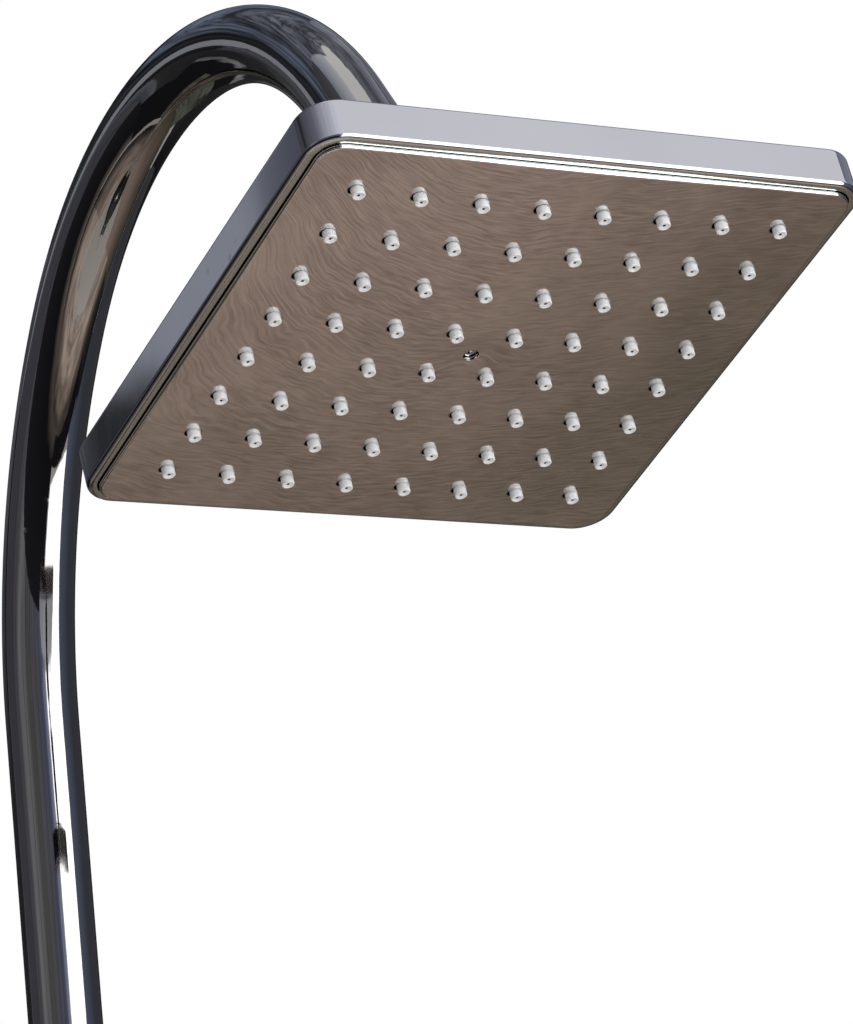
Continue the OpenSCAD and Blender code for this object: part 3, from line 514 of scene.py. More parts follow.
    def bump(self, height: bpy.types.NodeSocket, depth: float, strength: float = 1.0,
             over: Optional[bpy.types.NodeSocket] = None) -> bpy.types.NodeSocket:
        """Turns a height into a bumped normal.

        Args:
            height: The height, from 0 to 1.
            depth: Depth of the relief, in metres.
            strength: Share of the relief that shows.
            over: A normal that this bump lies over.

        Returns:
            The normal.
        """
        node = self.add("Bump", Height=height, Distance=depth, Strength=strength)
        if over is not None:
            self.put(node.inputs["Normal"], over)
        return node.outputs["Normal"]


@dataclass(frozen=True)
class Chrome:
    """Polished plating: a tint, faint waves in its surface, and dried water spots."""

    name: str
    tint: Colour
    shade: Colour
    gloss: float
    haze: float
    wave_scale: float = 18.0
    wave_depth: float = 0.0004
    spots: float = 0.5
    ripple: float = 0.0
    cloud_scale: float = 9.0
    smear_scale: float = 34.0
    spot_scale: float = 150.0
    patch_scale: float = 26.0
    spot_haze: float = 0.10
    spot_depth: float = 0.00001

    def make(self) -> bpy.types.Material:
        """Builds the material.

        Returns:
            The material.
        """
        r = Recipe(self.name)
        smear = r.noise(self.smear_scale, 5.0, 0.6, r.stretched((1, 1, 0.35)))
        haze = r.between(smear, 0.35, 0.75, self.gloss, self.gloss + self.haze)
        spot = self.water_spots(r)
        rough = r.sums("ADD", haze, r.sums("MULTIPLY", spot, self.spot_haze * self.spots))
        wave = r.bump(r.noise(self.wave_scale, 1.0, 0.4), self.wave_depth)
        if self.ripple:
            wave = r.bump(r.noise(self.wave_scale * 5, 2.0, 0.5), self.ripple, 1.0, wave)
        cloud = r.between(r.noise(self.cloud_scale, 3.0), 0.3, 0.7)
        r.set(Base_Color=r.blend(cloud, self.tint, self.shade), Metallic=1.0, Roughness=rough,
              Normal=r.bump(spot, self.spot_depth, 1.0, wave))
        return r.material

    def water_spots(self, r: Recipe) -> bpy.types.NodeSocket:
        """Small round spots that stand in patches.

        Args:
            r: The finish's material.

        Returns:
            One within a spot, and zero outside.
        """
        cells = r.add("TexVoronoi", Vector=r.place, Scale=self.spot_scale, Randomness=1.0)
        spot = r.between(cells.outputs["Distance"], 0.10, 0.22, 1.0, 0.0)
        return r.sums("MULTIPLY", spot, r.between(r.noise(self.patch_scale, 2.0), 0.58, 0.70))


@dataclass(frozen=True)
class FaceFinish:
    """Light steel of the head's face, with fine wavy streaks: painted reflection of wood grain in its
    colour, and a faint relief in its surface.

    Its places and lengths are in metres in the plate's own plane.
    """

    name: str = "face_finish"
    light: Colour = (0.99, 0.965, 0.945)
    middle: Colour = (0.92, 0.895, 0.875)
    # Tone of the painted reflection's grain streaks
    dark: Colour = (0.60, 0.57, 0.555)
    cool: Colour = (0.62, 0.62, 0.59)
    cool_depth: float = 0.78
    cool_share: float = 0.85
    cool_reach: float = 0.12
    cool_scale: float = 20.0
    # Turn of the streaks against the plate's sides, in degrees
    level: float = 12.6
    warp_scale: float = 26.0
    warp: float = 0.012
    # Where the streaks begin to turn steep, and how fast they do
    bend_from: float = 0.015
    bend: float = 9.0
    # Height and radius of the hump that the streaks make round the centre
    ring_rise: float = 0.0055
    ring_r: float = 0.010
    # Streaks per metre along and across their run
    streak_scale: Pair = (105.0, 900.0)
    patch_scale: float = 24.0
    # Least and greatest roughness
    gloss: Pair = (0.09, 0.15)
    relief: float = 0.00004

    def make(self) -> bpy.types.Material:
        """Builds the material.

        Returns:
            The material.
        """
        r = Recipe(self.name)
        plan = r.flat("plan")
        moved = self.warped(r, plan)
        streaks = self.streaks(r, plan, moved)
        painted_streak = r.between(streaks, 0.34, 0.66)
        patches = r.noise(self.patch_scale, 4.0, 0.6, moved)
        # Painted reflection: the grain streaks darken the plate's colour
        colour = r.blend(painted_streak, self.dark, self.middle)
        colour = r.blend(r.between(patches, 0.45, 0.75, 0.0, 0.75), colour, self.light)
        deep = tuple(c * self.cool_depth for c in self.cool)
        colour = r.blend(self.coolness(r, plan), colour, r.blend(painted_streak, deep, self.cool))
        r.set(Base_Color=colour, Metallic=1.0, Roughness=r.between(patches, 0.3, 0.7, *self.gloss),
              Normal=r.bump(streaks, self.relief, 0.6))
        return r.material

    def warped(self, r: Recipe, plan: bpy.types.NodeSocket) -> bpy.types.NodeSocket:
        """Moves the plan's coordinates a little this way and that.

        Args:
            r: The finish's material.
            plan: Coordinates in the plate's plane.

        Returns:
            The moved coordinates.
        """
        warp = r.add("TexNoise", Vector=plan, Scale=self.warp_scale, Detail=3.0, Roughness=0.55)
        offset = r.add("VectorMath", Vector=warp.outputs["Color"])
        offset.operation = "SCALE"
        offset.inputs["Scale"].default_value = self.warp
        moved = r.tree.nodes.new("ShaderNodeVectorMath")
        r.put(moved.inputs[0], plan)
        r.put(moved.inputs[1], offset.outputs[0])
        return moved.outputs[0]

    def streaks(self, r: Recipe, plan: bpy.types.NodeSocket,
                moved: bpy.types.NodeSocket) -> bpy.types.NodeSocket:
        """Painted reflection of wood grain: streaks that keep level, turn steep towards one corner and run
        round the centre's dimple.

        Args:
            r: The finish's material.
            plan: Coordinates in the plate's plane.
            moved: The same, warped.

        Returns:
            The streaks, from 0 to 1.
        """
        axes = r.add("SeparateXYZ", Vector=r.stretched((1, 1, 1), (0, 0, self.level), moved))
        along = axes.outputs["X"]
        left = r.sums("MINIMUM", r.sums("SUBTRACT", along, self.bend_from), 0.0)
        rise = r.sums("MULTIPLY", r.sums("MULTIPLY", left, left), self.bend)
        up = r.add("SeparateXYZ", Vector=plan).outputs["Y"]
        rise = r.sums("MULTIPLY", rise, r.between(up, 0.05, -0.06, 0.25, 1.0))
        near = r.sums("DIVIDE", r.length(plan), self.ring_r)
        ring = r.sums("POWER", 1 / math.e, r.sums("MULTIPLY", near, near))
        rise = r.sums("ADD", rise, r.sums("MULTIPLY", ring, self.ring_rise))
        across = r.sums("ADD", axes.outputs["Y"], rise)
        path = r.add("CombineXYZ", X=r.sums("MULTIPLY", along, self.streak_scale[0]),
                     Y=r.sums("MULTIPLY", across, self.streak_scale[1]))
        return r.noise(1.0, 3.0, 0.55, path.outputs[0], 0.45)

    def coolness(self, r: Recipe, plan: bpy.types.NodeSocket) -> bpy.types.NodeSocket:
        """Share of the cool tint, which grows towards one corner and is cloudy.

        Args:
            r: The finish's material.
            plan: Coordinates in the plate's plane.

        Returns:
            The share.
        """
        side = r.add("SeparateXYZ", Vector=plan)
        corner = r.sums("SUBTRACT", side.outputs["X"], r.sums("MULTIPLY", side.outputs["Y"], 0.6))
        cool = r.between(corner, 0.0, self.cool_reach, 0.0, self.cool_share)
        cloud = r.noise(self.cool_scale, 3.0, 0.5, plan)
        return r.sums("MULTIPLY", cool, r.between(cloud, 0.38, 0.62, 0.15, 1.0))


@dataclass(frozen=True)
class Silicone:
    """Pale silicone rubber, slightly see-through, with a powdery moulded skin."""

    name: str = "silicone"
    colour: Colour = (0.90, 0.925, 0.965)
    low: Colour = (0.82, 0.845, 0.885)
    cloud_scale: float = 420.0
    skin_scale: float = 2600.0
    relief: float = 0.00003
    # Least and greatest roughness
    gloss: Pair = (0.38, 0.55)
    # Share of the light that goes in, and how far each colour of it travels
    glow: float = 0.12
    glow_depth: float = 0.001
    glow_reach: Colour = (1.0, 0.9, 0.8)

    def make(self) -> bpy.types.Material:
        """Builds the material.

        Returns:
            The material.
        """
        r = Recipe(self.name)
        cloud = r.noise(self.cloud_scale, 4.0, 0.6)
        skin = r.noise(self.skin_scale, 3.0, 0.6)
        r.set(Base_Color=r.blend(r.between(cloud, 0.35, 0.7), self.colour, self.low),
              Roughness=r.between(cloud, 0.3, 0.7, *self.gloss), Normal=r.bump(skin, self.relief, 0.5),
              Subsurface_Weight=self.glow, Subsurface_Scale=self.glow_depth,
              Subsurface_Radius=self.glow_reach)
        return r.material


class Grain(Enum):
    """Ways in which a plastic or rubber part gets its surface."""

    MOULDED = "moulded"
    DRAWN = "drawn"


@dataclass(frozen=True)
class Polymer:
    """Plastic or rubber: colour, gloss, and the grain that its making leaves."""

    name: str
    colour: Colour
    worn: Colour
    gloss: float
    grain: Grain = Grain.MOULDED
    depth: float = 0.00005
    scale: float = 900.0
    dust: float = 0.0
    dust_colour: Colour = (0.30, 0.29, 0.27)
    dust_scale: float = 170.0
    patch_scale: float = 31.0
    cloud_scale: float = 7.0
    draw_lines: Triple = (240, 240, 1.2)
    sway_scale: float = 5.0
    sway: float = 0.0012

    def make(self) -> bpy.types.Material:
        """Builds the material.

        Returns:
            The material.
        """
        r = Recipe(self.name)
        cloud = r.noise(self.cloud_scale, 5.0, 0.6)
        speck = r.add("TexVoronoi", Vector=r.place, Scale=self.dust_scale, Randomness=1.0)
        fleck = r.between(speck.outputs["Distance"], 0.05, 0.11, 1.0, 0.0)
        patches = r.between(r.noise(self.patch_scale, 3.0), 0.55, 0.72, 0.0, self.dust)
        colour = r.blend(r.between(cloud, 0.35, 0.75), self.colour, self.worn)
        colour = r.blend(r.sums("MULTIPLY", fleck, patches), colour, self.dust_colour)
        r.set(Base_Color=colour, Roughness=r.between(cloud, 0.3, 0.75, self.gloss, self.gloss + 0.14),
              Normal=self.relief(r))
        return r.material

    def relief(self, r: Recipe) -> bpy.types.NodeSocket:
        """Grain of the surface.

        Args:
            r: The finish's material.

        Returns:
            The bumped normal.
        """
        if self.grain is Grain.DRAWN:
            lines = r.bump(r.noise(1.0, 3.0, 0.6, r.stretched(self.draw_lines)), self.depth)
            return r.bump(r.noise(self.sway_scale, 1.0), self.sway, 0.5, lines)
        pits = r.add("TexVoronoi", Vector=r.place, Scale=self.scale, Randomness=1.0).outputs["Distance"]
        return r.bump(r.sums("ADD", pits, r.noise(self.scale / 3, 3.0)), self.depth)


@dataclass(frozen=True)
class Metal:
    """Bare or coated metal, with its brushing or its tarnish."""

    name: str
    bright: Colour
    dull: Colour
    gloss: float
    brushing: Triple = (900.0, 900.0, 14.0)
    metallic: float = 1.0
    depth: float = 0.00001
    cloud_scale: float = 60.0

    def make(self) -> bpy.types.Material:
        """Builds the material.

        Returns:
            The material.
        """
        r = Recipe(self.name)
        cloud = r.noise(self.cloud_scale, 5.0, 0.65)
        lines = r.noise(1.0, 3.0, 0.6, r.stretched(self.brushing))
        r.set(Base_Color=r.blend(r.between(cloud, 0.35, 0.7), self.bright, self.dull),
              Metallic=self.metallic, Normal=r.bump(lines, self.depth),
              Roughness=r.between(lines, 0.3, 0.7, self.gloss, self.gloss + 0.12))
        return r.material


@dataclass
class Palette:
    """All finishes of the shower, by the record's material slots."""

    made: dict[str, bpy.types.Material] = field(default_factory=dict)

    def mix(self) -> None:
        """Builds every finish."""
        finishes = {
            "tube_chrome": Chrome("tube_finish", (0.42, 0.41, 0.405), (0.36, 0.352, 0.348), 0.03, 0.03,
                                  wave_scale=14.0, wave_depth=0.0006, spots=1.0, ripple=0.00006),
            "head_chrome": Chrome("head_finish", (0.53, 0.535, 0.585), (0.48, 0.485, 0.535), 0.05, 0.05,
                                  wave_scale=22.0, wave_depth=0.00025, spots=0.7),
            "fitting_chrome": Chrome("fitting_finish", (0.62, 0.64, 0.67), (0.56, 0.58, 0.61), 0.05, 0.05,
                                     wave_scale=40.0, wave_depth=0.00015, spots=0.6),
            "face_chrome": FaceFinish(),
            "nozzle_silicone": Silicone(),
            "black_plastic": Polymer("column_plastic", (0.014, 0.014, 0.015), (0.022, 0.022, 0.023), 0.22,
                                     Grain.DRAWN, depth=0.00002, dust=0.35),
            "inner_black": Polymer("inner_plastic", (0.02, 0.02, 0.021), (0.03, 0.03, 0.031), 0.45),
            "ground_steel": Metal("plate_coating", (0.030, 0.030, 0.032), (0.045, 0.045, 0.047), 0.42,
                                  brushing=(700.0, 700.0, 700.0), metallic=0.0, depth=0.00006),
            "bolt_steel": Metal("screw_steel", (0.58, 0.59, 0.61), (0.42, 0.43, 0.45), 0.24),
            "bare_brass": Metal("brass", (0.72, 0.52, 0.24), (0.52, 0.36, 0.17), 0.26),
            "rubber": Polymer("seal_rubber", (0.022, 0.022, 0.023), (0.035, 0.035, 0.036), 0.62,
                              depth=0.00008, scale=1400.0, dust=0.2),
            "valve_plastic": Polymer("valve_white", (0.78, 0.78, 0.76), (0.70, 0.70, 0.67), 0.32,
                                     depth=0.00002),
            "water_tube": Polymer("water_pipe", (0.74, 0.74, 0.71), (0.66, 0.66, 0.63), 0.38, Grain.DRAWN),
        }
        for slot, finish in finishes.items():
            self.made[slot] = finish.make()
            log.info("finish %s", slot)

    def dress_frame(self, frame: dict[str, Any]) -> None:
        """Gives each CAD node the finish of its slot.
        """
        slots = {part["node"]: part["material_slot"] for part in frame["record"]["subparts"]}
        for name, node in frame["nodes"].items():
            node.data.materials.clear()
            node.data.materials.append(self.made[slots[name]])

    def finish_piece(self, piece: bpy.types.Object, slot: str, body: str, *nodes: str) -> None:
        """Dresses a new piece, hangs it on the body that carries it, and hides the CAD nodes that it
        replaces.

        Args:
            piece: The new piece.
            slot: The material slot that it takes its finish from.
            body: The CAD body that carries it.
            nodes: CAD nodes that it replaces.
        """
        piece.data.materials.clear()
        piece.data.materials.append(self.made[slot])
        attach(piece, body)
        if nodes:
            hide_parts(*nodes)
        log.info("piece %s on %s", piece.name, body)


# Rain head


@dataclass
class RainHead:
    """The square head: shell, raised and domed face plate, nozzles and centre screw."""

    layout: Layout
    palette: Palette
    side: float = 0.200
    height: float = 0.015
    corner: float = 0.0125
    edge: float = 0.0012
    low_edge: float = 0.0017
    rim: float = 0.0034
    rim_lip: float = 0.0003
    groove: float = 0.0004
    face_edge_z: float = -0.002
    face_corner_z: float = -0.0014
    bulge: float = 0.0016
    face_lip: float = 0.0005
    face_skirt: float = 0.0036
    corner_soft: float = 0.0004
    dimple: float = 0.00012
    dimple_r: float = 0.0045
    mat_z: float = 0.0022
    mat_corner: float = 0.006
    count: int = 8
    pitch: float = 0.0219
    cell_steps: int = 8
    quarter_steps: int = 6
    nozzle_d: float = 0.0043
    nozzle_l: float = 0.0025
    nozzle_off: Pair = (0.0001, 0.0001)
    nozzle_count: int = 28
    tip_round: float = 0.0003
    outlet_d: float = 0.0010
    bore_l: float = 0.0030
    hole_d: float = 0.0052
    hole_off: Pair = (-0.00032, 0.0001)
    # Shares of the way to the hole at which its square gets more points
    hole_rings: tuple[float, ...] = (0.35, 0.7, 0.9)
    # How far the hole's edge grows at each depth under the face
    hole_edge: tuple[Pair, ...] = ((0.0003, 0.0), (0.00013, 0.00004), (0.00003, 0.00014), (0.0, 0.0003),
                                   (0.0, 0.0016))
    # The same for the hole of the centre screw
    screw_edge: tuple[Pair, ...] = ((0.0, 0.0), (-0.00002, 0.00003), (-0.00004, 0.00012), (-0.00004, 0.0016))
    screw_depth: float = 0.0011
    screw_r: float = 0.0023
    screw_round: float = 0.0005
    screw_count: int = 36
    recess_r: float = 0.0010
    recess_depth: float = 0.0012
    socket_r: float = 0.015
    socket_bore: float = 0.0118
    socket_fillet: float = 0.0012
    # Its thread's pitch and depth
    socket_thread: Pair = (0.0015, 0.0005)

    def face_half(self) -> float:
        """Half of the face plate's side."""
        return self.side / 2 - self.rim - self.groove

    def face_height(self, x: float, y: float) -> float:
        """Height of the face plate's outer surface.

        Args:
            x: Distance from the centre along X.
            y: Distance from the centre along Y.

        Returns:
            The height over the rim's plane, with the dimple round the centre screw.
        """
        half = self.face_half()
        ball = (half ** 2 + self.bulge ** 2) / (2 * self.bulge)
        r = math.hypot(x, y)
        dome = self.face_edge_z - self.bulge + ball - math.sqrt(ball ** 2 - r ** 2)
        # The dome turns flat before the corners
        share = max(0.0, 1 - abs(dome - self.face_corner_z) / self.corner_soft)
        level = min(dome, self.face_corner_z) - share * share * self.corner_soft / 4
        return level + self.dimple * math.exp(-((r / self.dimple_r) ** 2))

    def on_face(self, x: float, y: float, depth: float = 0.0) -> Vector:
        """Point on the face plate's outer surface, or under it.

        Args:
            x: Distance from the centre along X.
            y: Distance from the centre along Y.
            depth: Depth under the surface, into the head.

        Returns:
            The point in the head's frame.
        """
        return Vector((x, y, self.face_height(x, y) + depth))

    def build(self) -> None:
        """Builds every piece of the head."""
        self.build_shell()
        self.build_face()
        self.build_nozzles()
        self.build_screw()

    def build_shell(self) -> None:
        """Shell with rounded edges, its rim, and the flat back round the socket."""
        half, e, low, lip = self.side / 2, self.edge, self.low_edge, self.rim_lip
        profile: list[Pair] = [(self.rim, self.mat_z + 0.004), (self.rim, lip)]
        profile += arc((self.rim - lip, lip), lip, 0, -90, 4)[1:]
        profile += [(self.rim - 2 * lip, 0), (low + lip, 0)]
        profile += arc((low, low), low, -90, -180, 12)
        profile += [(0, low + lip), (0, self.height - e - lip)]
        profile += arc((e, self.height - e), e, 180, 90, 10)
        profile += [(e + lip, self.height)]
        skin = Skin()
        rings = [skin.ring(rounded_square(half - d, self.corner - d, z)) for d, z in profile]
        skin.loft(rings)
        inner = skin.ring(circle(self.socket_r - 0.0005, self.height, len(rings[0])))
        skin.bridge(rings[-1], inner)
        shell = skin.piece("head_shell", self.layout.head(), crease=40.0)
        self.palette.finish_piece(shell, "head_chrome", "shower_head")
        self.add_plan(shell)
        # The rim's colour gets the same painted streaks of reflected wood grain, in greener tones
        rim = FaceFinish("rim_finish", light=(0.70, 0.76, 0.73), middle=(0.64, 0.70, 0.67),
                         dark=(0.54, 0.59, 0.56), cool=(0.58, 0.62, 0.58))
        shell.data.materials.append(rim.make())
        back = self.layout.head().inverted()
        for face in shell.data.polygons:
            if (back @ face.center).z < lip * 0.5:
                face.material_index = 1
        self.build_socket()

    def build_socket(self) -> None:
        """Threaded socket on the head's back."""
        r, top, low = self.socket_r, self.layout.ball_over_rim - 0.003, self.height
        fillet = self.socket_fillet
        pitch, deep = self.socket_thread
        profile: list[Pair] = [(r + fillet, low)] + arc((r + fillet, low + fillet), fillet, -90, -180, 5)
        z = low + 0.004
        while z < top - 0.002:
            profile += groove(r, z, z + 0.0010, deep, 0.0004)
            z += pitch
        profile += [(r, top - 0.0006), (r - 0.0006, top), (self.socket_bore, top),
                    (self.socket_bore, low + 0.006)]
        socket = turned("head_socket", profile, self.layout.head(), count=64, crease=25.0)
        self.palette.finish_piece(socket, "head_chrome", "shower_head", "head_back")

    def cell(self, i: int, j: int) -> list[Pair]:
        """Outline of the square round one nozzle, cut away round the centre screw.

        Args:
            i: Column of the nozzle.
            j: Row of the nozzle.

        Returns:
            Points round the square, anticlockwise.
        """
        p, n, steps = self.pitch, self.count, self.cell_steps
        x0, y0 = (i - n / 2) * p, (j - n / 2) * p
        corners = [(x0, y0), (x0 + p, y0), (x0 + p, y0 + p), (x0, y0 + p)]
        points: list[Pair] = []
        for k in range(4):
            a, b = corners[k], corners[(k + 1) % 4]
            at_screw = math.hypot(*a) < 1e-9
            if at_screw:
                start = math.degrees(math.atan2(corners[k - 1][1], corners[k - 1][0]))
                turn = (math.degrees(math.atan2(b[1], b[0])) - start + 180) % 360 - 180
                points += arc((0, 0), p / steps, start, start + turn, self.quarter_steps)[1:-1]
            points += [(a[0] + (b[0] - a[0]) * t / steps, a[1] + (b[1] - a[1]) * t / steps)
                       for t in range(1 if at_screw else 0, steps)]
        return points

    def build_face(self) -> None:
        """Domed face plate with a hole for each nozzle and one for the centre screw."""
        skin = Skin()
        for i in range(self.count):
            for j in range(self.count):
                self.nozzle_hole(skin, i, j)
        self.face_margin(skin)
        self.screw_hole(skin)
        face = skin.piece("head_face", self.layout.head(), crease=50.0)
        self.add_plan(face)
        self.palette.finish_piece(face, "face_chrome", "shower_head", "face_plate")
        step = Chrome("step_finish", (0.88, 0.88, 0.89), (0.80, 0.81, 0.83), 0.06, 0.03)
        face.data.materials.append(step.make())
        up = self.layout.head().to_3x3() @ Vector((0, 0, 1))
        edge = self.face_half() - self.face_lip
        back = self.layout.head().inverted()
        for part in face.data.polygons:
            p = back @ part.center
            if max(abs(p.x), abs(p.y)) > edge and abs(part.normal.dot(up)) < 0.75:
                part.material_index = 1

    def nozzle_hole(self, skin: Skin, i: int, j: int) -> None:
        """Square of the plate round one nozzle, with its round hole.

        Args:
            skin: The plate's points so far.
            i: Column of the nozzle.
            j: Row of the nozzle.
        """
        cx, cy = self.centre_of(i, j, self.hole_off)
        outer = self.cell(i, j)
        rims = []
        for x, y in outer:
            away = Vector((x - cx, y - cy)).normalized()
            rims.append((cx + away.x * self.hole_d / 2, cy + away.y * self.hole_d / 2, away))
        rings = [skin.ring(self.on_face(*q) for q in outer)]
        for share in self.hole_rings:
            rings.append(skin.ring(
                self.on_face(q[0] + (r[0] - q[0]) * share, q[1] + (r[1] - q[1]) * share)
                for q, r in zip(outer, rims)))
        for grow, depth in self.hole_edge:
            rings.append(skin.ring(
                self.on_face(x + away.x * grow, y + away.y * grow, depth) for x, y, away in rims))
        skin.loft(rings)

    def centre_of(self, i: int, j: int, off: Pair) -> Pair:
        """Place of a nozzle in the grid.

        Args:
            i: Column of the nozzle.
            j: Row of the nozzle.
            off: How far off the grid's point it stands.

        Returns:
            The place in the plate's plane.
        """
        first = (self.count - 1) / 2
        return (i - first) * self.pitch + off[0], (j - first) * self.pitch + off[1]

    def face_margin(self, skin: Skin) -> None:
        """Strip between the nozzles' field and the plate's rounded edge.

        Args:
            skin: The plate's points so far.
        """
        steps, field_half = self.cell_steps, self.count * self.pitch / 2
        corner, lip = self.face_half() - field_half, self.face_lip
        outs = [(share * corner, 0.0) for share in (0.0, 0.3, 0.65)]
        outs += [(corner - 2 * lip, 0.0), (corner - lip, 0.0)]
        outs += arc((corner - lip, lip), lip, -90, 0, 6)[1:]
        outs += [(corner, self.face_skirt)]
        rings = []
        for out, depth in outs:
            points = []
            for quarter, (sx, sy) in enumerate(((1, 1), (-1, 1), (-1, -1), (1, -1))):
                for t in range(steps + 1):
                    a = math.pi / 2 * (quarter + t / steps)
                    points.append((sx * field_half + out * math.cos(a), sy * field_half + out * math.sin(a)))
                a = math.pi / 2 * (quarter + 1)
                nx, ny = math.cos(a), math.sin(a)
                count = self.count * steps
                for t in range(1, count):
                    s = field_half - 2 * field_half * t / count
                    on_x = quarter % 2 == 0
                    along = (sx * s, sy * field_half) if on_x else (sx * field_half, sy * s)
                    points.append((along[0] + nx * out, along[1] + ny * out))
            rings.append(skin.ring(self.on_face(x, y, depth) for x, y in points))
        skin.loft(rings)

    def screw_hole(self, skin: Skin) -> None:
        """Rolled lip of the hole round the centre screw.

        Args:
            skin: The plate's points so far.
        """
        r, count = self.pitch / self.cell_steps, 4 * self.quarter_steps
        rings = []
        for grow, depth in self.screw_edge:
            rings.append(skin.ring(self.on_face(q.x, q.y, depth) for q in circle(r + grow, 0, count)))
        skin.loft(rings)

    def add_plan(self, piece: bpy.types.Object) -> None:
        """Gives a piece of the head flat coordinates in the face's plane, in metres.

        Args:
            piece: The shell or the face plate.
        """
        layer = piece.data.uv_layers.new(name="plan")
        back = self.layout.head().inverted()
        for loop in piece.data.loops:
            p = back @ piece.data.vertices[loop.vertex_index].co
            layer.data[loop.index].uv = (p.x, p.y)

    def build_nozzles(self) -> None:
        """Silicone mat with its 64 nozzles."""
        skin = Skin()
        for i in range(self.count):
            for j in range(self.count):
                self.nozzle(skin, i, j)
        half = self.face_half() - 0.002
        sheet = [skin.ring(rounded_square(half - d, self.mat_corner, z, 6)) for d, z in
                 ((0, self.mat_z + 0.0016), (0, self.mat_z + 0.0003), (0.0003, self.mat_z))]
        skin.loft(sheet)
        skin.lid(sheet[-1], (0, 0, self.mat_z))
        mat = skin.piece("spray_nozzles", self.layout.head(), crease=38.0)
        self.palette.finish_piece(mat, "nozzle_silicone", "shower_head", "nozzle_mat")
        self.shade_mat(mat)

    def nozzle(self, skin: Skin, i: int, j: int) -> None:
        """One nozzle, from its bore over its rounded tip to the mat.

        Args:
            skin: The mat's points so far.
            i: Column of the nozzle.
            j: Row of the nozzle.
        """
        r, length, out, tip_round = self.nozzle_d / 2, self.nozzle_l, self.outlet_d / 2, self.tip_round
        cx, cy = self.centre_of(i, j, self.nozzle_off)
        tip = self.face_height(cx, cy) - length
        # Distances from the tip along the nozzle
        profile: list[Pair] = [(out * 0.8, self.bore_l), (out * 0.8, 0.0006), (out * 1.0, 0.00042),
                               (out * 1.5, 0.00032), (r - 0.00085, 0.00018), (r - 0.00062, 0.00003),
                               (r - 0.0005, 0.0), (r - 0.00034, 0.0)]
        profile += arc((r - tip_round, tip_round), tip_round, -80, 0, 4)
        profile += [(r, length * 0.55), (r, length + 0.0005), (r, self.mat_z - tip)]
        rings = []
        for radius, z in profile:
            around = circle(radius, tip + z, self.nozzle_count)
            rings.append(skin.ring((cx + p.x, cy + p.y, p.z) for p in around))
        skin.loft(rings)
        skin.lid(rings[0], (cx, cy, tip + self.bore_l))

    def shade_mat(self, mat: bpy.types.Object) -> None:
        """Darkens the outlets' bores and the mat behind the plate, where no light reaches.

        Args:
            mat: The mat with its nozzles.
        """
        shaded = Polymer("shaded_silicone", (0.012, 0.012, 0.013), (0.02, 0.02, 0.021), 0.6)
        mat.data.materials.append(shaded.make())
        back = self.layout.head().inverted()
        for face in mat.data.polygons:
            p = back @ face.center
            x, y = (((q - off) / self.pitch + self.count / 2) % 1 - 0.5
                    for q, off in zip(p.xy, self.nozzle_off))
            in_bore = math.hypot(x, y) * self.pitch < self.outlet_d / 2 * 0.9
            if in_bore or p.z > self.face_height(p.x, p.y) + 0.0004:
                face.material_index = 1

    def build_screw(self) -> None:
        """Small dome-headed screw with a six-sided recess."""
        base = self.face_height(0, 0) + self.screw_depth
        r, edge, count = self.screw_r, self.screw_round, self.screw_count
        skin = Skin()
        profile: list[Pair] = [(r - 0.0001, 0.0040), (r, 0.0012)]
        profile += arc((r - edge, edge), edge, 0, -75, 5)
        profile += [(0.00155, 0.00004), (0.00125, 0.0)]
        rings = [skin.ring(circle(radius, base + z, count)) for radius, z in profile]
        across = 2 * self.recess_r * math.cos(math.pi / 6)
        for depth in (0.0001, self.recess_depth):
            points = []
            for i in range(count):
                a = 2 * math.pi * i / count
                reach = hexagon(a, across)
                points.append((reach * math.cos(a), reach * math.sin(a), base + depth))
            rings.append(skin.ring(points))
        skin.loft(rings)
        skin.lid(rings[-1], (0, 0, base + self.recess_depth))
        screw = skin.piece("face_screw", self.layout.head(), crease=35.0)
        self.palette.finish_piece(screw, "head_chrome", "shower_head", "centre_screw")


# Gooseneck


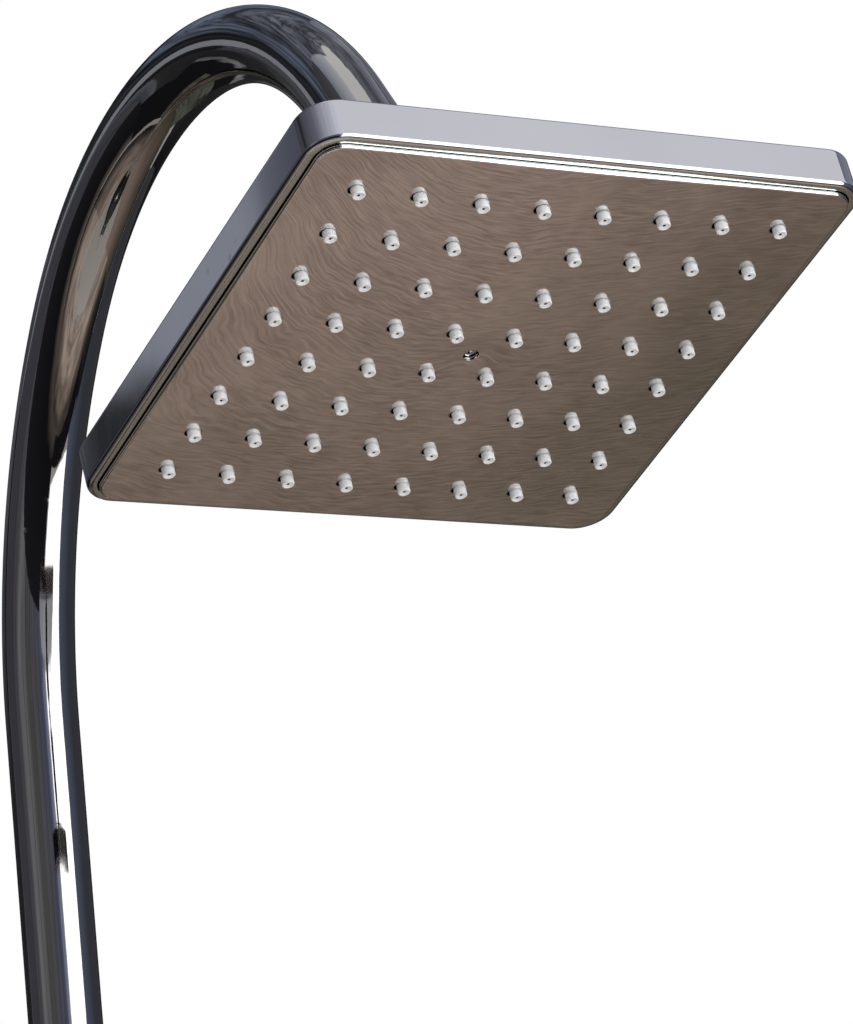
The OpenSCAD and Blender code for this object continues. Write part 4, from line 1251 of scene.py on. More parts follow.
@dataclass
class Gooseneck:
    """The bright tube that carries the head."""

    layout: Layout
    palette: Palette
    radius: float = 0.014
    wall: float = 0.0015
    leg: float = 0.266
    # Radius and angle of each bend; the last is all but straight, 49 mm long
    bends: tuple[Pair, ...] = ((0.228, 39.8), (0.1495, 102.8), (5.0, math.degrees(0.049 / 5.0)))
    leg_steps: int = 40
    bend_step: float = 0.0025
    round_count: int = 96

    def centreline(self) -> list[tuple[Vector, Vector]]:
        """Points along the tube's axis, with the direction to the outside of the bend.

        Returns:
            Pairs of a point and a unit vector, from the foot to the end.
        """
        foot, rear = self.layout.tube_foot_z, Vector((0, 1, 0))
        line = []
        for t in range(self.leg_steps + 1):
            line.append((Vector((0, 0, foot + self.leg * t / self.leg_steps)), rear))
        centre = Vector((0, -self.bends[0][0], foot + self.leg))
        angle, last = 0.0, self.bends[0][0]
        for radius, turn in self.bends:
            out = Vector((0, math.cos(angle), math.sin(angle)))
            centre = centre + out * (last - radius)
            steps = max(6, round(radius * math.radians(turn) / self.bend_step))
            for k in range(1, steps + 1):
                a = angle + math.radians(turn) * k / steps
                away = Vector((0, math.cos(a), math.sin(a)))
                line.append((centre + away * radius, away))
            angle += math.radians(turn)
            last = radius
        return line

    def build(self) -> None:
        """Builds the tube with its wall, and gives it its finish."""
        skin = Skin()
        line = self.centreline()
        side = Vector((1, 0, 0))

        def ring(k: int, radius: float) -> list[int]:
            """Adds the ring of a radius round one point of the centreline."""
            point, away = line[k]
            around = circle(radius, 0, self.round_count)
            return skin.ring(point + away * p.x + side * p.y for p in around)

        outer = [ring(k, self.radius) for k in range(len(line))]
        inner = [ring(k, self.radius - self.wall) for k in range(len(line))]
        skin.loft(outer)
        skin.loft(inner)
        skin.bridge(outer[0], inner[0])
        skin.bridge(outer[-1], inner[-1])
        tube = skin.piece("gooseneck", Matrix.Identity(4), crease=40.0)
        self.palette.finish_piece(tube, "tube_chrome", "gooseneck", "gooseneck_tube")


# Fittings


@dataclass
class Nuts:
    """The three bright nuts of the gooseneck, each with its sizes in its own frame."""

    layout: Layout
    palette: Palette
    union_z: float = 1.6944
    union_h: float = 0.0248
    union_r: float = 0.0212
    union_bore: float = 0.0168
    # Radius of its mouth, and the height at which the mouth begins
    union_mouth: Pair = (0.0143, 0.0218)
    union_flat: float = 0.0196
    union_flat_top: float = 0.012
    union_groove: Pair = (0.0128, 0.0138)
    union_knurl: Pair = (0.0141, 0.0181)
    ball_nut_r: float = 0.0182
    ball_nut_bore: float = 0.0153
    ball_nut_span: Pair = (0.021, 0.0483)
    ball_nut_flat: float = 0.0168
    ball_flat_span: Pair = (0.023, 0.035)
    ball_groove: Pair = (0.0360, 0.0370)
    ball_knurl: Pair = (0.0374, 0.0454)
    # Radii and heights along the mouth, from its lip down round the ball
    ball_mouth: tuple[Pair, ...] = ((0.0112, 0.0483), (0.0104, 0.0472), (0.0104, 0.0466), (0.0110, 0.0440),
                                    (0.0113, 0.0413), (0.0113, 0.0386))
    end_span: Pair = (0.0176, 0.0363)
    end_across: float = 0.026
    end_bore: float = 0.0068
    # Radius of the room over its floor, and the floor's thickness
    end_inner: Pair = (0.0105, 0.003)
    chamfer_slope: float = 1.7
    # Heights over each end at which the chamfered corners get their points
    chamfer_steps: tuple[float, ...] = (0.0003, 0.0006, 0.0009, 0.0013)
    knurls: int = 60
    knurl_depth: float = 0.0004
    knurl_step: float = 0.0008
    flat_step: float = 0.003

    def build(self) -> None:
        """Builds the three nuts."""
        self.build_union()
        self.build_ball_nut()
        self.build_end_nut()

    def knurled(self, radius: float, flat: float, flats: Pair, knurl: Pair) -> Shape:
        """Shape with two spanner flats and a knurled band.

        Args:
            radius: The nut's radius.
            flat: Distance of each flat from the axis.
            flats: Heights between which the flats run.
            knurl: Heights between which the knurl runs.

        Returns:
            The shape.
        """
        def shape(angle: float, r: float, z: float) -> float:
            """Radius at an angle and a height."""
            if r < radius * 0.9:
                return r
            if flats[0] <= z <= flats[1]:
                across = abs(math.cos(angle)) * r
                return r if across <= flat else r * flat / across
            if knurl[0] < z < knurl[1]:
                return r - self.knurl_depth * (0.5 - 0.5 * math.cos(self.knurls * angle))
            return r
        return shape

    def build_union(self) -> None:
        """Union nut over the cap, with spanner flats, a knurled band and a cone."""
        r, h, flat_top, bore = self.union_r, self.union_h, self.union_flat_top, self.union_bore
        mouth, mouth_z = self.union_mouth
        start, end = self.union_knurl
        profile: list[Pair] = [(bore, 0.0), (r - 0.0006, 0.0), (r, 0.0006)]
        profile += [(r, z) for z in steps_to(0.0012, flat_top, self.flat_step)]
        profile += [(r, flat_top + 0.0001)] + groove(r, *self.union_groove, 0.0005, 0.0003)
        profile += [(r, z) for z in steps_to(start, end - 0.0001, self.knurl_step)]
        profile += [(r, end + 0.0002), (r - 0.0003, end + 0.0007), (bore + 0.0006, h - 0.0004), (bore, h)]
        profile += [(mouth, h), (mouth, mouth_z), (bore, mouth_z)]
        shape = self.knurled(r, self.union_flat, (-1.0, flat_top), self.union_knurl)
        frame = Matrix.Translation((0, 0, self.union_z))
        nut = turned("union_nut_turned", profile, frame, count=240, crease=25.0, closed=True, shape=shape)
        self.palette.finish_piece(nut, "fitting_chrome", "column", "union_nut")

    def build_ball_nut(self) -> None:
        """Nut that holds the ball, with spanner flats, a knurled band and a flared mouth."""
        r, (low, top), bore = self.ball_nut_r, self.ball_nut_span, self.ball_nut_bore
        flat_low, flat_top = self.ball_flat_span
        start, end = self.ball_knurl
        heights = [flat_low - 0.0005, flat_low - 0.0001, flat_low]
        heights += steps_to(flat_low + 0.0005, flat_top - 0.0005, self.flat_step)
        heights += [flat_top, flat_top + 0.0001]
        profile: list[Pair] = [(bore, low), (r - 0.0005, low), (r, low + 0.0005)]
        profile += [(r, z) for z in heights] + groove(r, *self.ball_groove, 0.0004, 0.0003)
        profile += [(r, z) for z in steps_to(start - 0.0001, end + 0.0001, self.knurl_step)]
        profile += [(r, end + 0.0005), (r - 0.0002, end + 0.0010), (r - 0.0018, top - 0.0002)]
        profile += [(r - 0.0023, top), *self.ball_mouth, (bore, self.ball_mouth[-1][1])]
        shape = self.knurled(r, self.ball_nut_flat, self.ball_flat_span, self.ball_knurl)
        nut = turned("ball_nut_turned", profile, self.layout.head(), count=240, crease=25.0, closed=True,
                     shape=shape)
        self.palette.finish_piece(nut, "fitting_chrome", "shower_head", "ball_nut")

    def build_end_nut(self) -> None:
        """Hexagon nut on the tube's end, with chamfered corners."""
        (low, top), bore, (inner, floor) = self.end_span, self.end_bore, self.end_inner
        corner = self.end_across / 2 / math.cos(math.pi / 6)

        def shape(angle: float, r: float, z: float) -> float:
            """Radius at an angle and a height."""
            if r < self.end_across * 0.45:
                return r
            chamfer = self.end_across / 2 + 0.0002 + self.chamfer_slope * min(z - low, top - z)
            return min(hexagon(angle, self.end_across), chamfer)

        heights = [low + rise for rise in (0.0, *self.chamfer_steps)] + [(low + top) / 2]
        heights += [top - rise for rise in (*reversed(self.chamfer_steps), 0.0)]
        profile: list[Pair] = [(bore, low)] + [(corner, z) for z in heights]
        profile += [(inner, top), (inner, low + floor), (bore, low + floor)]
        nut = turned("end_nut_turned", profile, self.layout.tube_end(), count=144, crease=25.0, closed=True,
                     shape=shape)
        self.palette.finish_piece(nut, "fitting_chrome", "gooseneck", "end_nut")


@dataclass
class Handles:
    """The mixer's lever and the foot tap's knob."""

    layout: Layout
    palette: Palette
    pivot_u: float = 0.112
    lever_rise: float = 18.0
    lever_r: float = 0.0045
    lever_span: Pair = (0.0243, 0.108)
    lever_waist: float = 0.74
    lever_ring: float = 0.016
    knob_u: float = 0.135
    knob_r: float = 0.017
    knob_t: float = 0.018
    knob_round: float = 0.0014
    flutes: int = 6
    flute_r: float = 0.006
    flute_at: float = 0.020
    flute_soft: float = 0.0008

    def build(self) -> None:
        """Builds the lever's rod and the knob."""
        self.build_lever()
        self.build_knob()

    def build_lever(self) -> None:
        """Rod that swells towards a round tip, with a collar at the hub and a ring near its end."""
        r, (low, top), waist = self.lever_r, self.lever_span, self.lever_waist
        profile: list[Pair] = [(0.0, low - 0.0008), (r * 0.99, low - 0.0008), (r * 0.99, low + 0.0012),
                               (r * 0.90, low + 0.0016), (r * waist, low + 0.0030)]
        for share in (0.15, 0.3, 0.45, 0.6, 0.7):
            profile.append((r * (waist + (1 - waist) * share ** 1.4), low + share * (top - low)))
        ring = top - self.lever_ring
        profile += [(r * 0.985, ring - 0.0009), (r * 0.9, ring - 0.0006), (r * 0.9, ring + 0.0006),
                    (r, ring + 0.0009)]
        profile += arc((0, top - r), r, 0, 81, 9) + [(0.0, top)]
        frame = (self.layout.front(self.layout.mixer_z) @ Matrix.Translation((0, 0, self.pivot_u))
                 @ Matrix.Rotation(-math.radians(self.lever_rise), 4, "X"))
        rod = turned("lever_rod_turned", profile, frame, count=64, crease=30.0)
        self.palette.finish_piece(rod, "fitting_chrome", "mixer_lever", "lever_rod")

    def build_knob(self) -> None:
        """Fluted knob with rounded edges and a sunk middle for its screw."""
        r, t, e = self.knob_r, self.knob_t, self.knob_round
        profile: list[Pair] = [(0.0053, 0.0), (r - e, 0.0)] + arc((r - e, e), e, -72, 0, 4)
        profile += [(r, z) for z in steps_to(e + 0.002, t - e - 0.002, 0.004)]
        profile += arc((r - e, t - e), e, 0, 90, 5)
        # Fine ring on the face
        profile += [(0.0112, t), (0.0109, t - 0.0003), (0.0104, t - 0.0003), (0.0101, t)]
        # Seat of the screw, its hole and the wider one for the spindle
        profile += [(0.0046, t), (0.0041, t - 0.0005), (0.0040, t - 0.003), (0.0017, t - 0.003),
                    (0.0017, 0.0092), (0.0053, 0.0092)]
        frame = self.layout.front(self.layout.foot_tap_z) @ Matrix.Translation((0, 0, self.knob_u))
        knob = turned("tap_knob_turned", profile, frame, count=240, crease=28.0, closed=True,
                      shape=self.fluted)
        self.palette.finish_piece(knob, "fitting_chrome", "foot_tap", "foot_tap_knob")

    def fluted(self, angle: float, radius: float, z: float) -> float:
        """Radius of the knob at an angle, cut away by its flutes.

        Args:
            angle: Angle round the knob, in radians.
            radius: Radius of the profile there.
            z: Height of the profile there; not used.

        Returns:
            The radius.
        """
        if radius < self.knob_r * 0.5:
            return radius
        away = (angle % (2 * math.pi / self.flutes)) - math.pi / self.flutes
        side = self.flute_at * math.sin(away)
        if abs(side) >= self.flute_r:
            return radius
        # The flute's edge rolls over softly into the rim
        cut = self.flute_at * math.cos(away) - math.sqrt(self.flute_r ** 2 - side ** 2)
        inset = self.knob_r - radius
        share = max(0.0, 1 - abs(cut - inset - radius) / self.flute_soft)
        return min(cut - inset, radius) - share * share * self.flute_soft / 4


@dataclass
class Column:
    """Black mouldings of the column and its brass water inlet."""

    layout: Layout
    palette: Palette
    tank_gap_r: float = 0.0802
    ring_z: Pair = (0.800, 0.880)
    ring_r: float = 0.0872
    ring_round: float = 0.002
    # How far the ribbed bands keep from the ring's ends and from its middle
    band_margins: Pair = (0.008, 0.009)
    band_fade: float = 0.002
    ribs: int = 60
    rib_depth: float = 0.0011
    # Half the height of the groove between the bands, and its depth
    middle_groove: Pair = (0.0022, 0.0008)
    cap_r: float = 0.082
    cap_bore: float = 0.0133
    cap_z: float = 1.662
    cap_rim: float = 0.008
    cap_round: float = 0.0018
    # Radius of the cap's plug in the tank, and its depth
    cap_plug: Pair = (0.0766, 0.004)
    # Radii of the step round the crown, and how deep it lies there
    cap_step: tuple[Pair, ...] = ((0.0785, 0.0002), (0.0775, 0.0010), (0.0765, 0.0010), (0.0757, 0.0001))
    crown_r: float = 0.19578
    crown_centre: float = 1.49222
    crown_points: tuple[float, ...] = (0.072, 0.066, 0.060, 0.054, 0.048, 0.042, 0.036, 0.030)
    nut_seat_r: float = 0.024
    inlet_bore: float = 0.0077
    # Radius of the inlet's shank, and where it ends in the column
    shank: Pair = (0.0104, 0.060)
    flange_span: Pair = (0.086, 0.093)
    flange_r: float = 0.0194
    flange_across: float = 0.0364
    flange_bevel: float = 0.0006
    inlet_end: float = 0.109
    thread_r: float = 0.0132
    thread_depth: float = 0.0009
    thread_pitch: float = 0.0018

    def build(self) -> None:
        """Builds the ring, the cap and the inlet."""
        self.build_ring()
        self.build_cap()
        self.build_inlet()

    def build_ring(self) -> None:
        """Ring that joins the tanks, with two ribbed grip bands and a groove between them."""
        r, (low, top), inner, e = self.ring_r, self.ring_z, self.tank_gap_r, self.ring_round
        middle, (at_end, at_middle) = (low + top) / 2, self.band_margins
        bands = ((low + at_end, middle - at_middle), (middle + at_middle, top - at_end))
        reach, deep = self.middle_groove

        def shape(angle: float, radius: float, z: float) -> float:
            """Radius at an angle and a height."""
            if radius < r * 0.97:
                return radius
            for start, end in bands:
                if start <= z <= end:
                    fade = min(1.0, (z - start) / self.band_fade, (end - z) / self.band_fade)
                    return radius - fade * self.rib_depth * abs(math.sin(self.ribs * angle / 2)) ** 0.5
            return radius

        profile: list[Pair] = [(inner, low), (r - e, low)] + arc((r - e, low + e), e, -72, 0, 4)
        for start, end in bands:
            profile.append((r, start - 0.0002))
            profile += [(r, z) for z in steps_to(start, end, 0.001)]
            profile.append((r, end + 0.0002))
            if end < middle:
                profile += groove(r, middle - reach, middle + reach, deep, deep)
        profile += arc((r - e, top - e), e, 0, 90, 5) + [(inner, top)]
        ring = turned("grip_ring", profile, Matrix.Identity(4), count=360, crease=30.0, closed=True,
                      shape=shape)
        self.palette.finish_piece(ring, "black_plastic", "column", "coupling_ring")

    def crown(self, radius: float) -> float:
        """Height of the cap's crown at a radius."""
        return self.crown_centre + math.sqrt(self.crown_r ** 2 - radius ** 2)

    def build_cap(self) -> None:
        """Domed cap with a rounded rim and a step round its crown."""
        r, z0, rim, e = self.cap_r, self.cap_z, self.cap_rim, self.cap_round
        bore, (plug, depth) = self.cap_bore, self.cap_plug
        profile: list[Pair] = [(bore, z0 - depth), (plug, z0 - depth), (plug, z0), (r - e, z0)]
        profile += arc((r - e, z0 + e), e, -72, 0, 4)
        profile += [(r, z0 + rim - e)] + arc((r - e, z0 + rim - e), e, 18, 72, 3)
        profile += [(x, self.crown(x) - sunk) for x, sunk in self.cap_step]
        profile += [(x, self.crown(x)) for x in (*self.crown_points, self.nut_seat_r)]
        profile += [(bore, self.crown(self.nut_seat_r))]
        cap = turned("cap_dome", profile, Matrix.Identity(4), count=160, crease=30.0, closed=True)
        self.palette.finish_piece(cap, "black_plastic", "column", "top_cap")

    def build_inlet(self) -> None:
        """Brass hose inlet with its flange and a cut thread."""
        bore, r, deep, end = self.inlet_bore, self.thread_r, self.thread_depth, self.inlet_end
        (shank, back), (seat, front) = self.shank, self.flange_span
        flange, e = self.flange_r, self.flange_bevel
        profile: list[Pair] = [(bore, end), (r - 0.0014, end), (r - deep, end - 0.0006)]
        z = end - 0.0010
        while z > front + 0.0026:
            profile += [(r, z), (r, z - 0.0003), (r - deep, z - 0.0010), (r - deep, z - 0.0012)]
            z -= self.thread_pitch
        profile += [(r - deep, front + e), (r - deep + e, front), (flange - e, front), (flange, front - e)]
        profile += [(flange, seat + e), (flange - e, seat), (shank, seat), (shank, back), (bore, back)]

        def shape(angle: float, radius: float, z: float) -> float:
            """Radius at an angle and a height, with flats on the flange."""
            return min(radius, hexagon(angle, self.flange_across)) if radius > flange * 0.93 else radius

        frame = self.layout.rear(self.layout.inlet_z)
        inlet = turned("hose_inlet_turned", profile, frame, count=144, crease=25.0, closed=True, shape=shape)
        self.palette.finish_piece(inlet, "bare_brass", "column", "hose_inlet")


# Lamps and cards

# Tone of the darkest cards and of the streaks: painted dark reflection
DARK_REFLECTION: Colour = (0.012, 0.012, 0.014)


@dataclass(frozen=True)
class Softbox:
    """A soft rectangular lamp."""

    name: str
    place: Triple
    aim: Triple
    size: Pair
    power: float
    mirrored: bool = True

    def hang(self) -> None:
        """Adds the lamp to the scene."""
        data = bpy.data.lights.new(self.name, "AREA")
        data.shape = "RECTANGLE"
        data.size, data.size_y = self.size
        data.energy = self.power
        lamp = bpy.data.objects.new(self.name, data)
        bpy.context.scene.collection.objects.link(lamp)
        lamp.location = self.place
        lamp.rotation_mode = "QUATERNION"
        lamp.rotation_quaternion = (Vector(self.aim) - Vector(self.place)).to_track_quat("-Z", "Y")
        lamp.visible_camera = False
        lamp.visible_glossy = self.mirrored


@dataclass(frozen=True)
class Card:
    """A glowing card on a wide dome round the shower, outside the picture, seen only in reflections: a
    painted reflection for the chrome to mirror.

    Its azimuths and heights are angles at the dome's centre, in degrees. Its tones run from its first
    azimuth to its last, or from its lower edge to its upper one.
    """

    name: str
    azimuths: Pair
    heights: Pair
    tones: Tones
    along_height: bool = False
    fold: float = 0.08
    painted_streak: float = 0.0
    # Streaks per degree along the azimuth and the height
    weave: Pair = (0.05, 0.35)
    centre: Triple = (0.0, -0.15, 2.0)
    radius: float = 3.0
    # Folds per metre
    fold_scale: float = 3.0
    squares: tuple[int, int] = (16, 12)

    def place(self, u: float, v: float) -> Vector:
        """Point of the card.

        Args:
            u: Share of the way from its first azimuth to its last.
            v: Share of the way from its lower angle to its upper one.

        Returns:
            The point in the world.
        """
        azimuth, height = (math.radians(low + (high - low) * share)
                           for (low, high), share in ((self.azimuths, u), (self.heights, v)))
        level = math.cos(height)
        return Vector(self.centre) + self.radius * Vector(
            (level * math.cos(azimuth), level * math.sin(azimuth), math.sin(height)))

    def sheet(self) -> bpy.types.Object:
        """The card's curved sheet, with flat coordinates that run from 0 to 1 both ways.

        Returns:
            The sheet.
        """
        skin, (across, up) = Skin(), self.squares
        rings = []
        for j in range(up + 1):
            rings.append(skin.ring(self.place(i / across, j / up) for i in range(across + 1)))
        for low, high in zip(rings, rings[1:]):
            skin.bridge(low, high, False)
        sheet = skin.piece(self.name, Matrix.Identity(4), crease=60.0)
        layer = sheet.data.uv_layers.new(name="spread")
        for loop in sheet.data.loops:
            k = loop.vertex_index
            layer.data[loop.index].uv = ((k % (across + 1)) / across, (k // (across + 1)) / up)
        return sheet

    def tone(self, r: Recipe, share: bpy.types.NodeSocket) -> bpy.types.NodeSocket:
        """Tone at a share of the way along the card.

        Args:
            r: The card's material.
            share: The share.

        Returns:
            The tone.
        """
        low, high = self.heights if self.along_height else self.azimuths
        ramp = r.add("ValToRGB", Fac=share)
        stops = ramp.color_ramp.elements
        while len(stops) < len(self.tones):
            stops.new(1.0)
        for stop, (angle, tone) in zip(stops, self.tones):
            stop.position = (angle - low) / (high - low)
            stop.color = (*tone, 1.0)
        return ramp.outputs["Color"]

    def painted_reflection_glow(self) -> bpy.types.Material:
        """Glow in the card's tones, with soft folds and dark streaks: painted reflection, since only
        mirrored rays see it.

        Returns:
            The material.
        """
        r = Recipe(self.name + "_cloth")
        spread = r.flat("spread")
        share = r.add("SeparateXYZ", Vector=spread).outputs["Y" if self.along_height else "X"]
        fold = r.between(r.noise(self.fold_scale, 3.0), 0.3, 0.7, -self.fold, self.fold)
        tone = self.tone(r, r.sums("ADD", share, fold))
        if self.painted_streak:
            spans = (self.azimuths, self.heights)
            size = [(high - low) * count for (low, high), count in zip(spans, self.weave)]
            strand = r.noise(1.0, 3.0, 0.6, r.stretched((*size, 1.0), source=spread), 0.4)
            tone = r.blend(r.between(strand, 0.38, 0.62, 0.0, self.painted_streak), tone, DARK_REFLECTION)
        # Painted reflection: the card glows though it is no lamp
        lit = r.add("Emission", Color=tone, Strength=1.0)
        r.tree.links.new(lit.outputs[0], r.output.inputs["Surface"])
        return r.material

    def stand(self) -> None:
        """Adds the card to the scene, hidden from the camera, from shadows and from diffuse light."""
        card = self.sheet()
        card.data.materials.append(self.painted_reflection_glow())
        # Only mirrors see the card, so its glow is painted reflection
        card.visible_camera = False
        card.visible_shadow = False
        card.visible_diffuse = False


def sky_cards() -> tuple[Card, ...]:
    """Cards above the head, which its back and the tube's bend mirror."""
    arch = ((26, (0.04, 0.042, 0.05)), (31, (0.055, 0.06, 0.075)), (34, DARK_REFLECTION), (36, (0.13, 0.155, 0.21)),
            (40, (0.22, 0.265, 0.37)), (47, (0.20, 0.24, 0.34)), (50, (0.07, 0.08, 0.10)),
            (54, (0.17, 0.19, 0.25)), (62, (0.30, 0.33, 0.42)), (74, (0.17, 0.18, 0.23)),
            (82, (0.45, 0.47, 0.55)))
    far_sky = ((26, (0.40, 0.42, 0.50)), (42, (0.20, 0.215, 0.26)), (54, (0.46, 0.48, 0.57)),
               (66, (0.20, 0.21, 0.26)), (84, (0.30, 0.32, 0.38)))
    high = ((60, (0.34, 0.37, 0.46)), (78, (0.74, 0.77, 0.84)))
    corner = ((150, (0.08, 0.08, 0.095)), (190, (0.19, 0.19, 0.225)))
    fade = ((190, (0.19, 0.19, 0.225)), (262, (0.98, 1.0, 1.05)))
    return (
        Card("arch_card", (50, 150), (26, 82), arch, True, 0.03, 0.8),
        Card("far_sky_card", (-20, 50), (26, 84), far_sky, True, 0.05, 0.5, (0.08, 0.2)),
        Card("high_card", (150, 212), (60, 78), high, True),
        Card("corner_card", (150, 190), (26, 60), corner),
        Card("fade_card", (190, 262), (26, 60), fade),
    )


def far_cards() -> tuple[Card, ...]:
    """Cards level with the head and beyond it, which the rim and the tube's far side mirror."""
    grey, light = (0.30, 0.30, 0.31), (0.35, 0.37, 0.41)
    side = ((-9, DARK_REFLECTION), (2, DARK_REFLECTION), (3.2, grey), (5, grey), (6.5, (0.03, 0.03, 0.032)),
            (13, (0.035, 0.035, 0.038)), (16, (0.13, 0.135, 0.15)), (26, (0.11, 0.115, 0.14)))
    wall = ((14, DARK_REFLECTION), (18.5, (0.03, 0.03, 0.03)), (19.3, light), (26, light))
    wall_low = ((115.4, (0.03, 0.03, 0.032)), (124.0, (0.04, 0.04, 0.043)))
    far_wall = ((124.0, (0.16, 0.17, 0.20)), (128, (0.06, 0.065, 0.085)))
    shade = ((98, DARK_REFLECTION), (128, DARK_REFLECTION))
    green = ((60, (0.17, 0.18, 0.145)), (98, (0.13, 0.14, 0.11)))
    return (
        Card("side_card", (68, 115.4), (-9, 26), side, True, 0.03, 0.6),
        Card("wall_card", (115.4, 124.0), (14, 26), wall, True, 0.03),
        Card("wall_low_card", (115.4, 124.0), (-9, 14), wall_low),
        Card("far_wall_card", (124.0, 128), (-9, 26), far_wall),
        Card("shade_card", (98, 128), (-40, -9), shade),
        Card("green_card", (60, 98), (-40, -9), green, painted_streak=0.6),
    )


def near_cards() -> tuple[Card, ...]:
    """Cards to both sides and behind the camera, which the tube's leg mirrors."""
    leg = ((128, (0.10, 0.10, 0.115)), (140, (0.11, 0.108, 0.125)), (161, (0.12, 0.117, 0.135)),
           (174, (0.22, 0.218, 0.235)), (183, (0.38, 0.38, 0.41)), (192, (0.30, 0.30, 0.315)),
           (200, (0.19, 0.19, 0.195)), (212, (0.165, 0.163, 0.165)), (228, (0.18, 0.182, 0.21)),
           (244, (0.17, 0.175, 0.24)), (252, (0.20, 0.22, 0.38)), (258, (0.45, 0.50, 0.72)),
           (264, (1.0, 1.05, 1.2)))
    low = ((-40, (0.17, 0.14, 0.12)), (-36, (0.11, 0.095, 0.08)), (-31, DARK_REFLECTION), (-3, (0.02, 0.02, 0.024)))
    front = ((262, DARK_REFLECTION), (330, DARK_REFLECTION))
    olive = ((-48, (0.16, 0.13, 0.10)), (-40, (0.03, 0.028, 0.022)))
    under = ((-48, (0.08, 0.068, 0.054)), (-28, DARK_REFLECTION))
    right = ((314.5, (0.15, 0.175, 0.26)), (352, (0.07, 0.078, 0.10)))
    far_right = ((352, (0.07, 0.078, 0.10)), (400, (0.065, 0.065, 0.07)))
    inner = ((40, DARK_REFLECTION), (68, (0.03, 0.03, 0.032)))
    inner_low = ((40, DARK_REFLECTION), (60, (0.03, 0.03, 0.032)))
    return (
        Card("leg_card", (128, 264), (-3, 26), leg, False, 0.02, 0.45, (0.3, 0.03)),
        Card("low_card", (128, 262), (-40, -3), low, True, 0.02),
        Card("front_card", (262, 330), (-40, -30.5), front),
        Card("olive_card", (150, 330), (-48, -40), olive, True, radius=2.6),
        Card("under_card", (330, 400), (-48, -28), under, True, radius=2.6),
        Card("right_card", (314.5, 352), (-30.5, 26), right),
        Card("far_right_card", (352, 400), (-28, 26), far_right),
        Card("inner_card", (40, 68), (-16, 26), inner),
        Card("inner_low_card", (40, 60), (-28, -16), inner_low),
    )


def deck_reflection_cards() -> tuple[Card, ...]:
    """Glowing cards under the head in the warm tones of a wooden deck: painted reflection for its face to
    mirror.
    """
    centre, weave = (0.0, -0.35, 2.0), (0.03, 0.25)
    face = ((-66, (0.33, 0.258, 0.215)), (-58, (0.33, 0.258, 0.215)), (-51, (0.275, 0.21, 0.176)),
            (-45, (0.20, 0.153, 0.125)), (-38, (0.145, 0.118, 0.093)), (-28, (0.07, 0.062, 0.048)))
    left = ((-66, (0.60, 0.52, 0.45)), (-59, (0.42, 0.33, 0.27)), (-50, (0.36, 0.28, 0.23)),
            (-44, (0.15, 0.13, 0.11)), (-38, DARK_REFLECTION))
    deck = ((-66, (0.74, 0.66, 0.59)), (-59, (0.64, 0.52, 0.44)), (-52, (0.70, 0.57, 0.48)),
            (-47, (0.45, 0.36, 0.30)), (-43, (0.17, 0.14, 0.12)), (-40, (0.09, 0.075, 0.06)))
    return (
        Card("face_card", (10, 88), (-66, -28), face, True, 0.05, centre=centre, radius=2.0),
        Card("left_deck_card", (88, 150), (-66, -38), left, True, 0.06, 0.5, weave, centre, 2.0),
        Card("deck_card", (150, 370), (-66, -40), deck, True, 0.06, 0.5, weave, centre, 1.99),
    )


# Studio


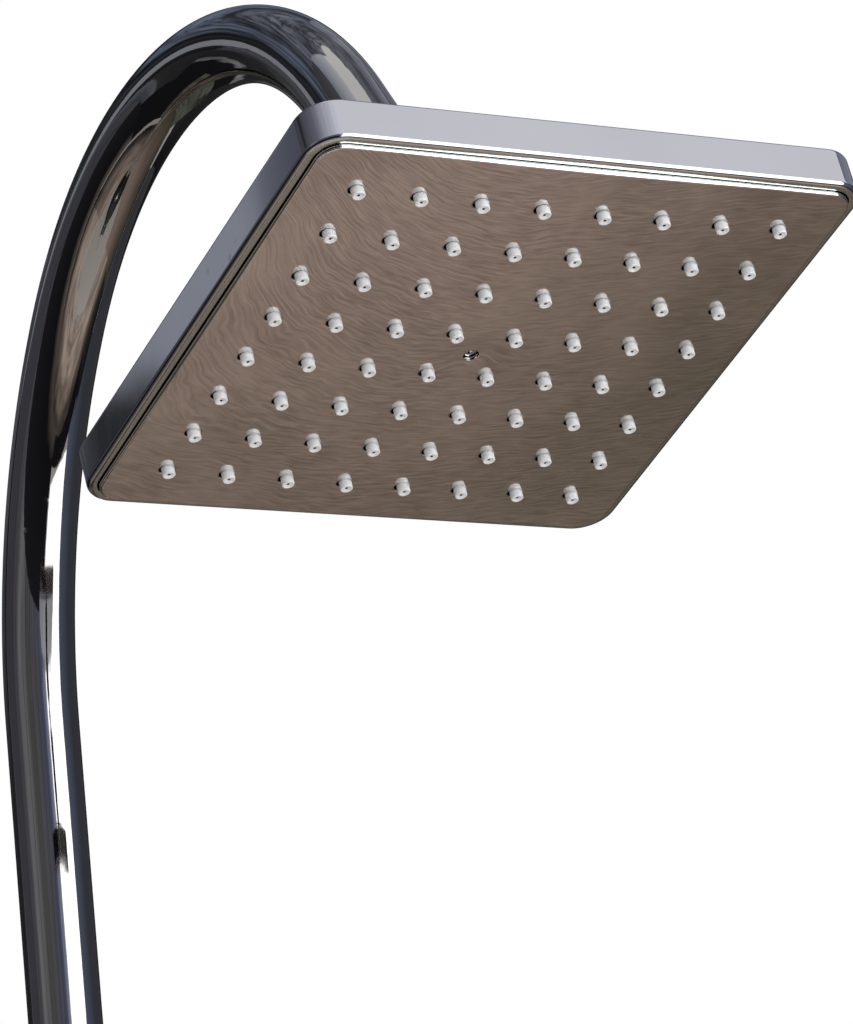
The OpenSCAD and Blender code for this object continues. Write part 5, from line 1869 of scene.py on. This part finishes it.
@dataclass
class Studio:
    """Floor, pale world, lamps, cards and camera."""

    floor_radius: float = 40.0
    floor_colour: Colour = (0.70, 0.645, 0.585)
    floor_speckle: float = 0.97
    # Distances at which the floor begins to turn white, and is white
    floor_fade: Pair = (1.6, 7.0)
    fill: float = 0.34
    fill_colour: Colour = (0.97, 0.98, 1.0)
    focal: float = 184.135
    sensor: float = 36.0
    clip: Pair = (0.01, 200.0)
    camera_place: Triple = (-0.81305, -1.75528, 1.46955)
    camera_forward: Triple = (0.470126, 0.834181, 0.288312)
    camera_right: Triple = (0.880950, -0.463467, -0.095530)

    def build(self) -> None:
        """Sets up the camera, the world, the floor, the lamps and the cards."""
        self.set_camera()
        self.paint_world()
        self.lay_floor()
        self.light()

    def set_camera(self) -> None:
        """Camera at the photograph's place, with the photograph's frame."""
        data = bpy.data.cameras.new("camera")
        data.lens = self.focal
        data.sensor_width = self.sensor
        data.clip_start, data.clip_end = self.clip
        camera = bpy.data.objects.new("camera", data)
        bpy.context.scene.collection.objects.link(camera)
        forward = Vector(self.camera_forward).normalized()
        right = Vector(self.camera_right).normalized()
        up = right.cross(forward).normalized()
        turn = Matrix((right, up, -forward)).transposed()
        camera.matrix_world = Matrix.Translation(self.camera_place) @ turn.to_4x4()
        bpy.context.scene.camera = camera

    def seen_directly(self, tree: bpy.types.NodeTree) -> bpy.types.NodeSocket:
        """Share that is one for what the camera, a mirror or clear glass shows.

        Args:
            tree: The node tree that gets the nodes.

        Returns:
            The share.
        """
        path = tree.nodes.new("ShaderNodeLightPath")
        last = path.outputs["Is Camera Ray"]
        for name in ("Is Glossy Ray", "Is Transmission Ray"):
            node = tree.nodes.new("ShaderNodeMath")
            node.operation = "MAXIMUM"
            tree.links.new(last, node.inputs[0])
            tree.links.new(path.outputs[name], node.inputs[1])
            last = node.outputs[0]
        return last

    def paint_world(self) -> None:
        """White for what is seen directly, and a weaker even fill for the rest."""
        world = bpy.data.worlds.new("studio")
        world.use_nodes = True
        tree = world.node_tree
        fill = tree.nodes["Background"]
        fill.inputs["Color"].default_value = (*self.fill_colour, 1.0)
        fill.inputs["Strength"].default_value = self.fill
        white = tree.nodes.new("ShaderNodeBackground")
        white.inputs["Color"].default_value = (1.0, 1.0, 1.0, 1.0)
        mix = tree.nodes.new("ShaderNodeMixShader")
        tree.links.new(self.seen_directly(tree), mix.inputs[0])
        tree.links.new(fill.outputs[0], mix.inputs[1])
        tree.links.new(white.outputs[0], mix.inputs[2])
        tree.links.new(mix.outputs[0], tree.nodes["World Output"].inputs["Surface"])
        bpy.context.scene.world = world

    def lay_floor(self) -> None:
        """Pale floor that keeps the shadow and turns white far away."""
        skin = Skin()
        rings = [skin.ring(circle(self.floor_radius * share, 0.0, 64)) for share in (1.0, 0.25, 0.05)]
        skin.loft(rings)
        skin.lid(rings[-1], (0, 0, 0))
        floor = skin.piece("floor", Matrix.Identity(4), crease=60.0)
        r = Recipe("floor_paint")
        low = tuple(c * self.floor_speckle for c in self.floor_colour)
        r.set(Base_Color=r.blend(r.noise(70.0, 4.0), self.floor_colour, low), Roughness=0.8)
        glow = r.add("Emission", Color=(1.0, 1.0, 1.0))
        far = r.between(r.length(r.place), *self.floor_fade)
        mix = r.tree.nodes.new("ShaderNodeMixShader")
        r.put(mix.inputs[0], r.sums("MULTIPLY", far, self.seen_directly(r.tree)))
        r.put(mix.inputs[1], r.shader.outputs[0])
        r.put(mix.inputs[2], glow.outputs[0])
        r.tree.links.new(mix.outputs[0], r.output.inputs["Surface"])
        floor.data.materials.append(r.material)

    def light(self) -> None:
        """Hangs the lamps and stands the cards."""
        for lamp in (
            Softbox("key_lamp", (1.08, -3.12, 1.86), (0.0, 0.0, 1.86), (2.97, 3.37), 66.0),
            Softbox("top_lamp", (0.3, -0.6, 4.6), (0.0, -0.1, 1.0), (2.4, 2.4), 62.0, False),
            Softbox("low_lamp", (-1.6, -2.6, 0.9), (0.0, -0.1, 0.8), (1.2, 1.4), 8.0, False),
        ):
            lamp.hang()
        for card in (*sky_cards(), *far_cards(), *near_cards(), *deck_reflection_cards()):
            card.stand()


def main() -> None:
    """Builds the dressed shower in its studio."""
    logging.basicConfig(level=logging.INFO, format="%(name)s: %(message)s")
    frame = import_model()
    bpy.context.scene.view_settings.view_transform = "Standard"
    Studio().build()
    layout = Layout()
    palette = Palette()
    palette.mix()
    palette.dress_frame(frame)
    for maker in (Gooseneck, RainHead, Nuts, Handles, Column):
        maker(layout, palette).build()
    bpy.context.view_layer.update()


if __name__ == "__main__":
    main()
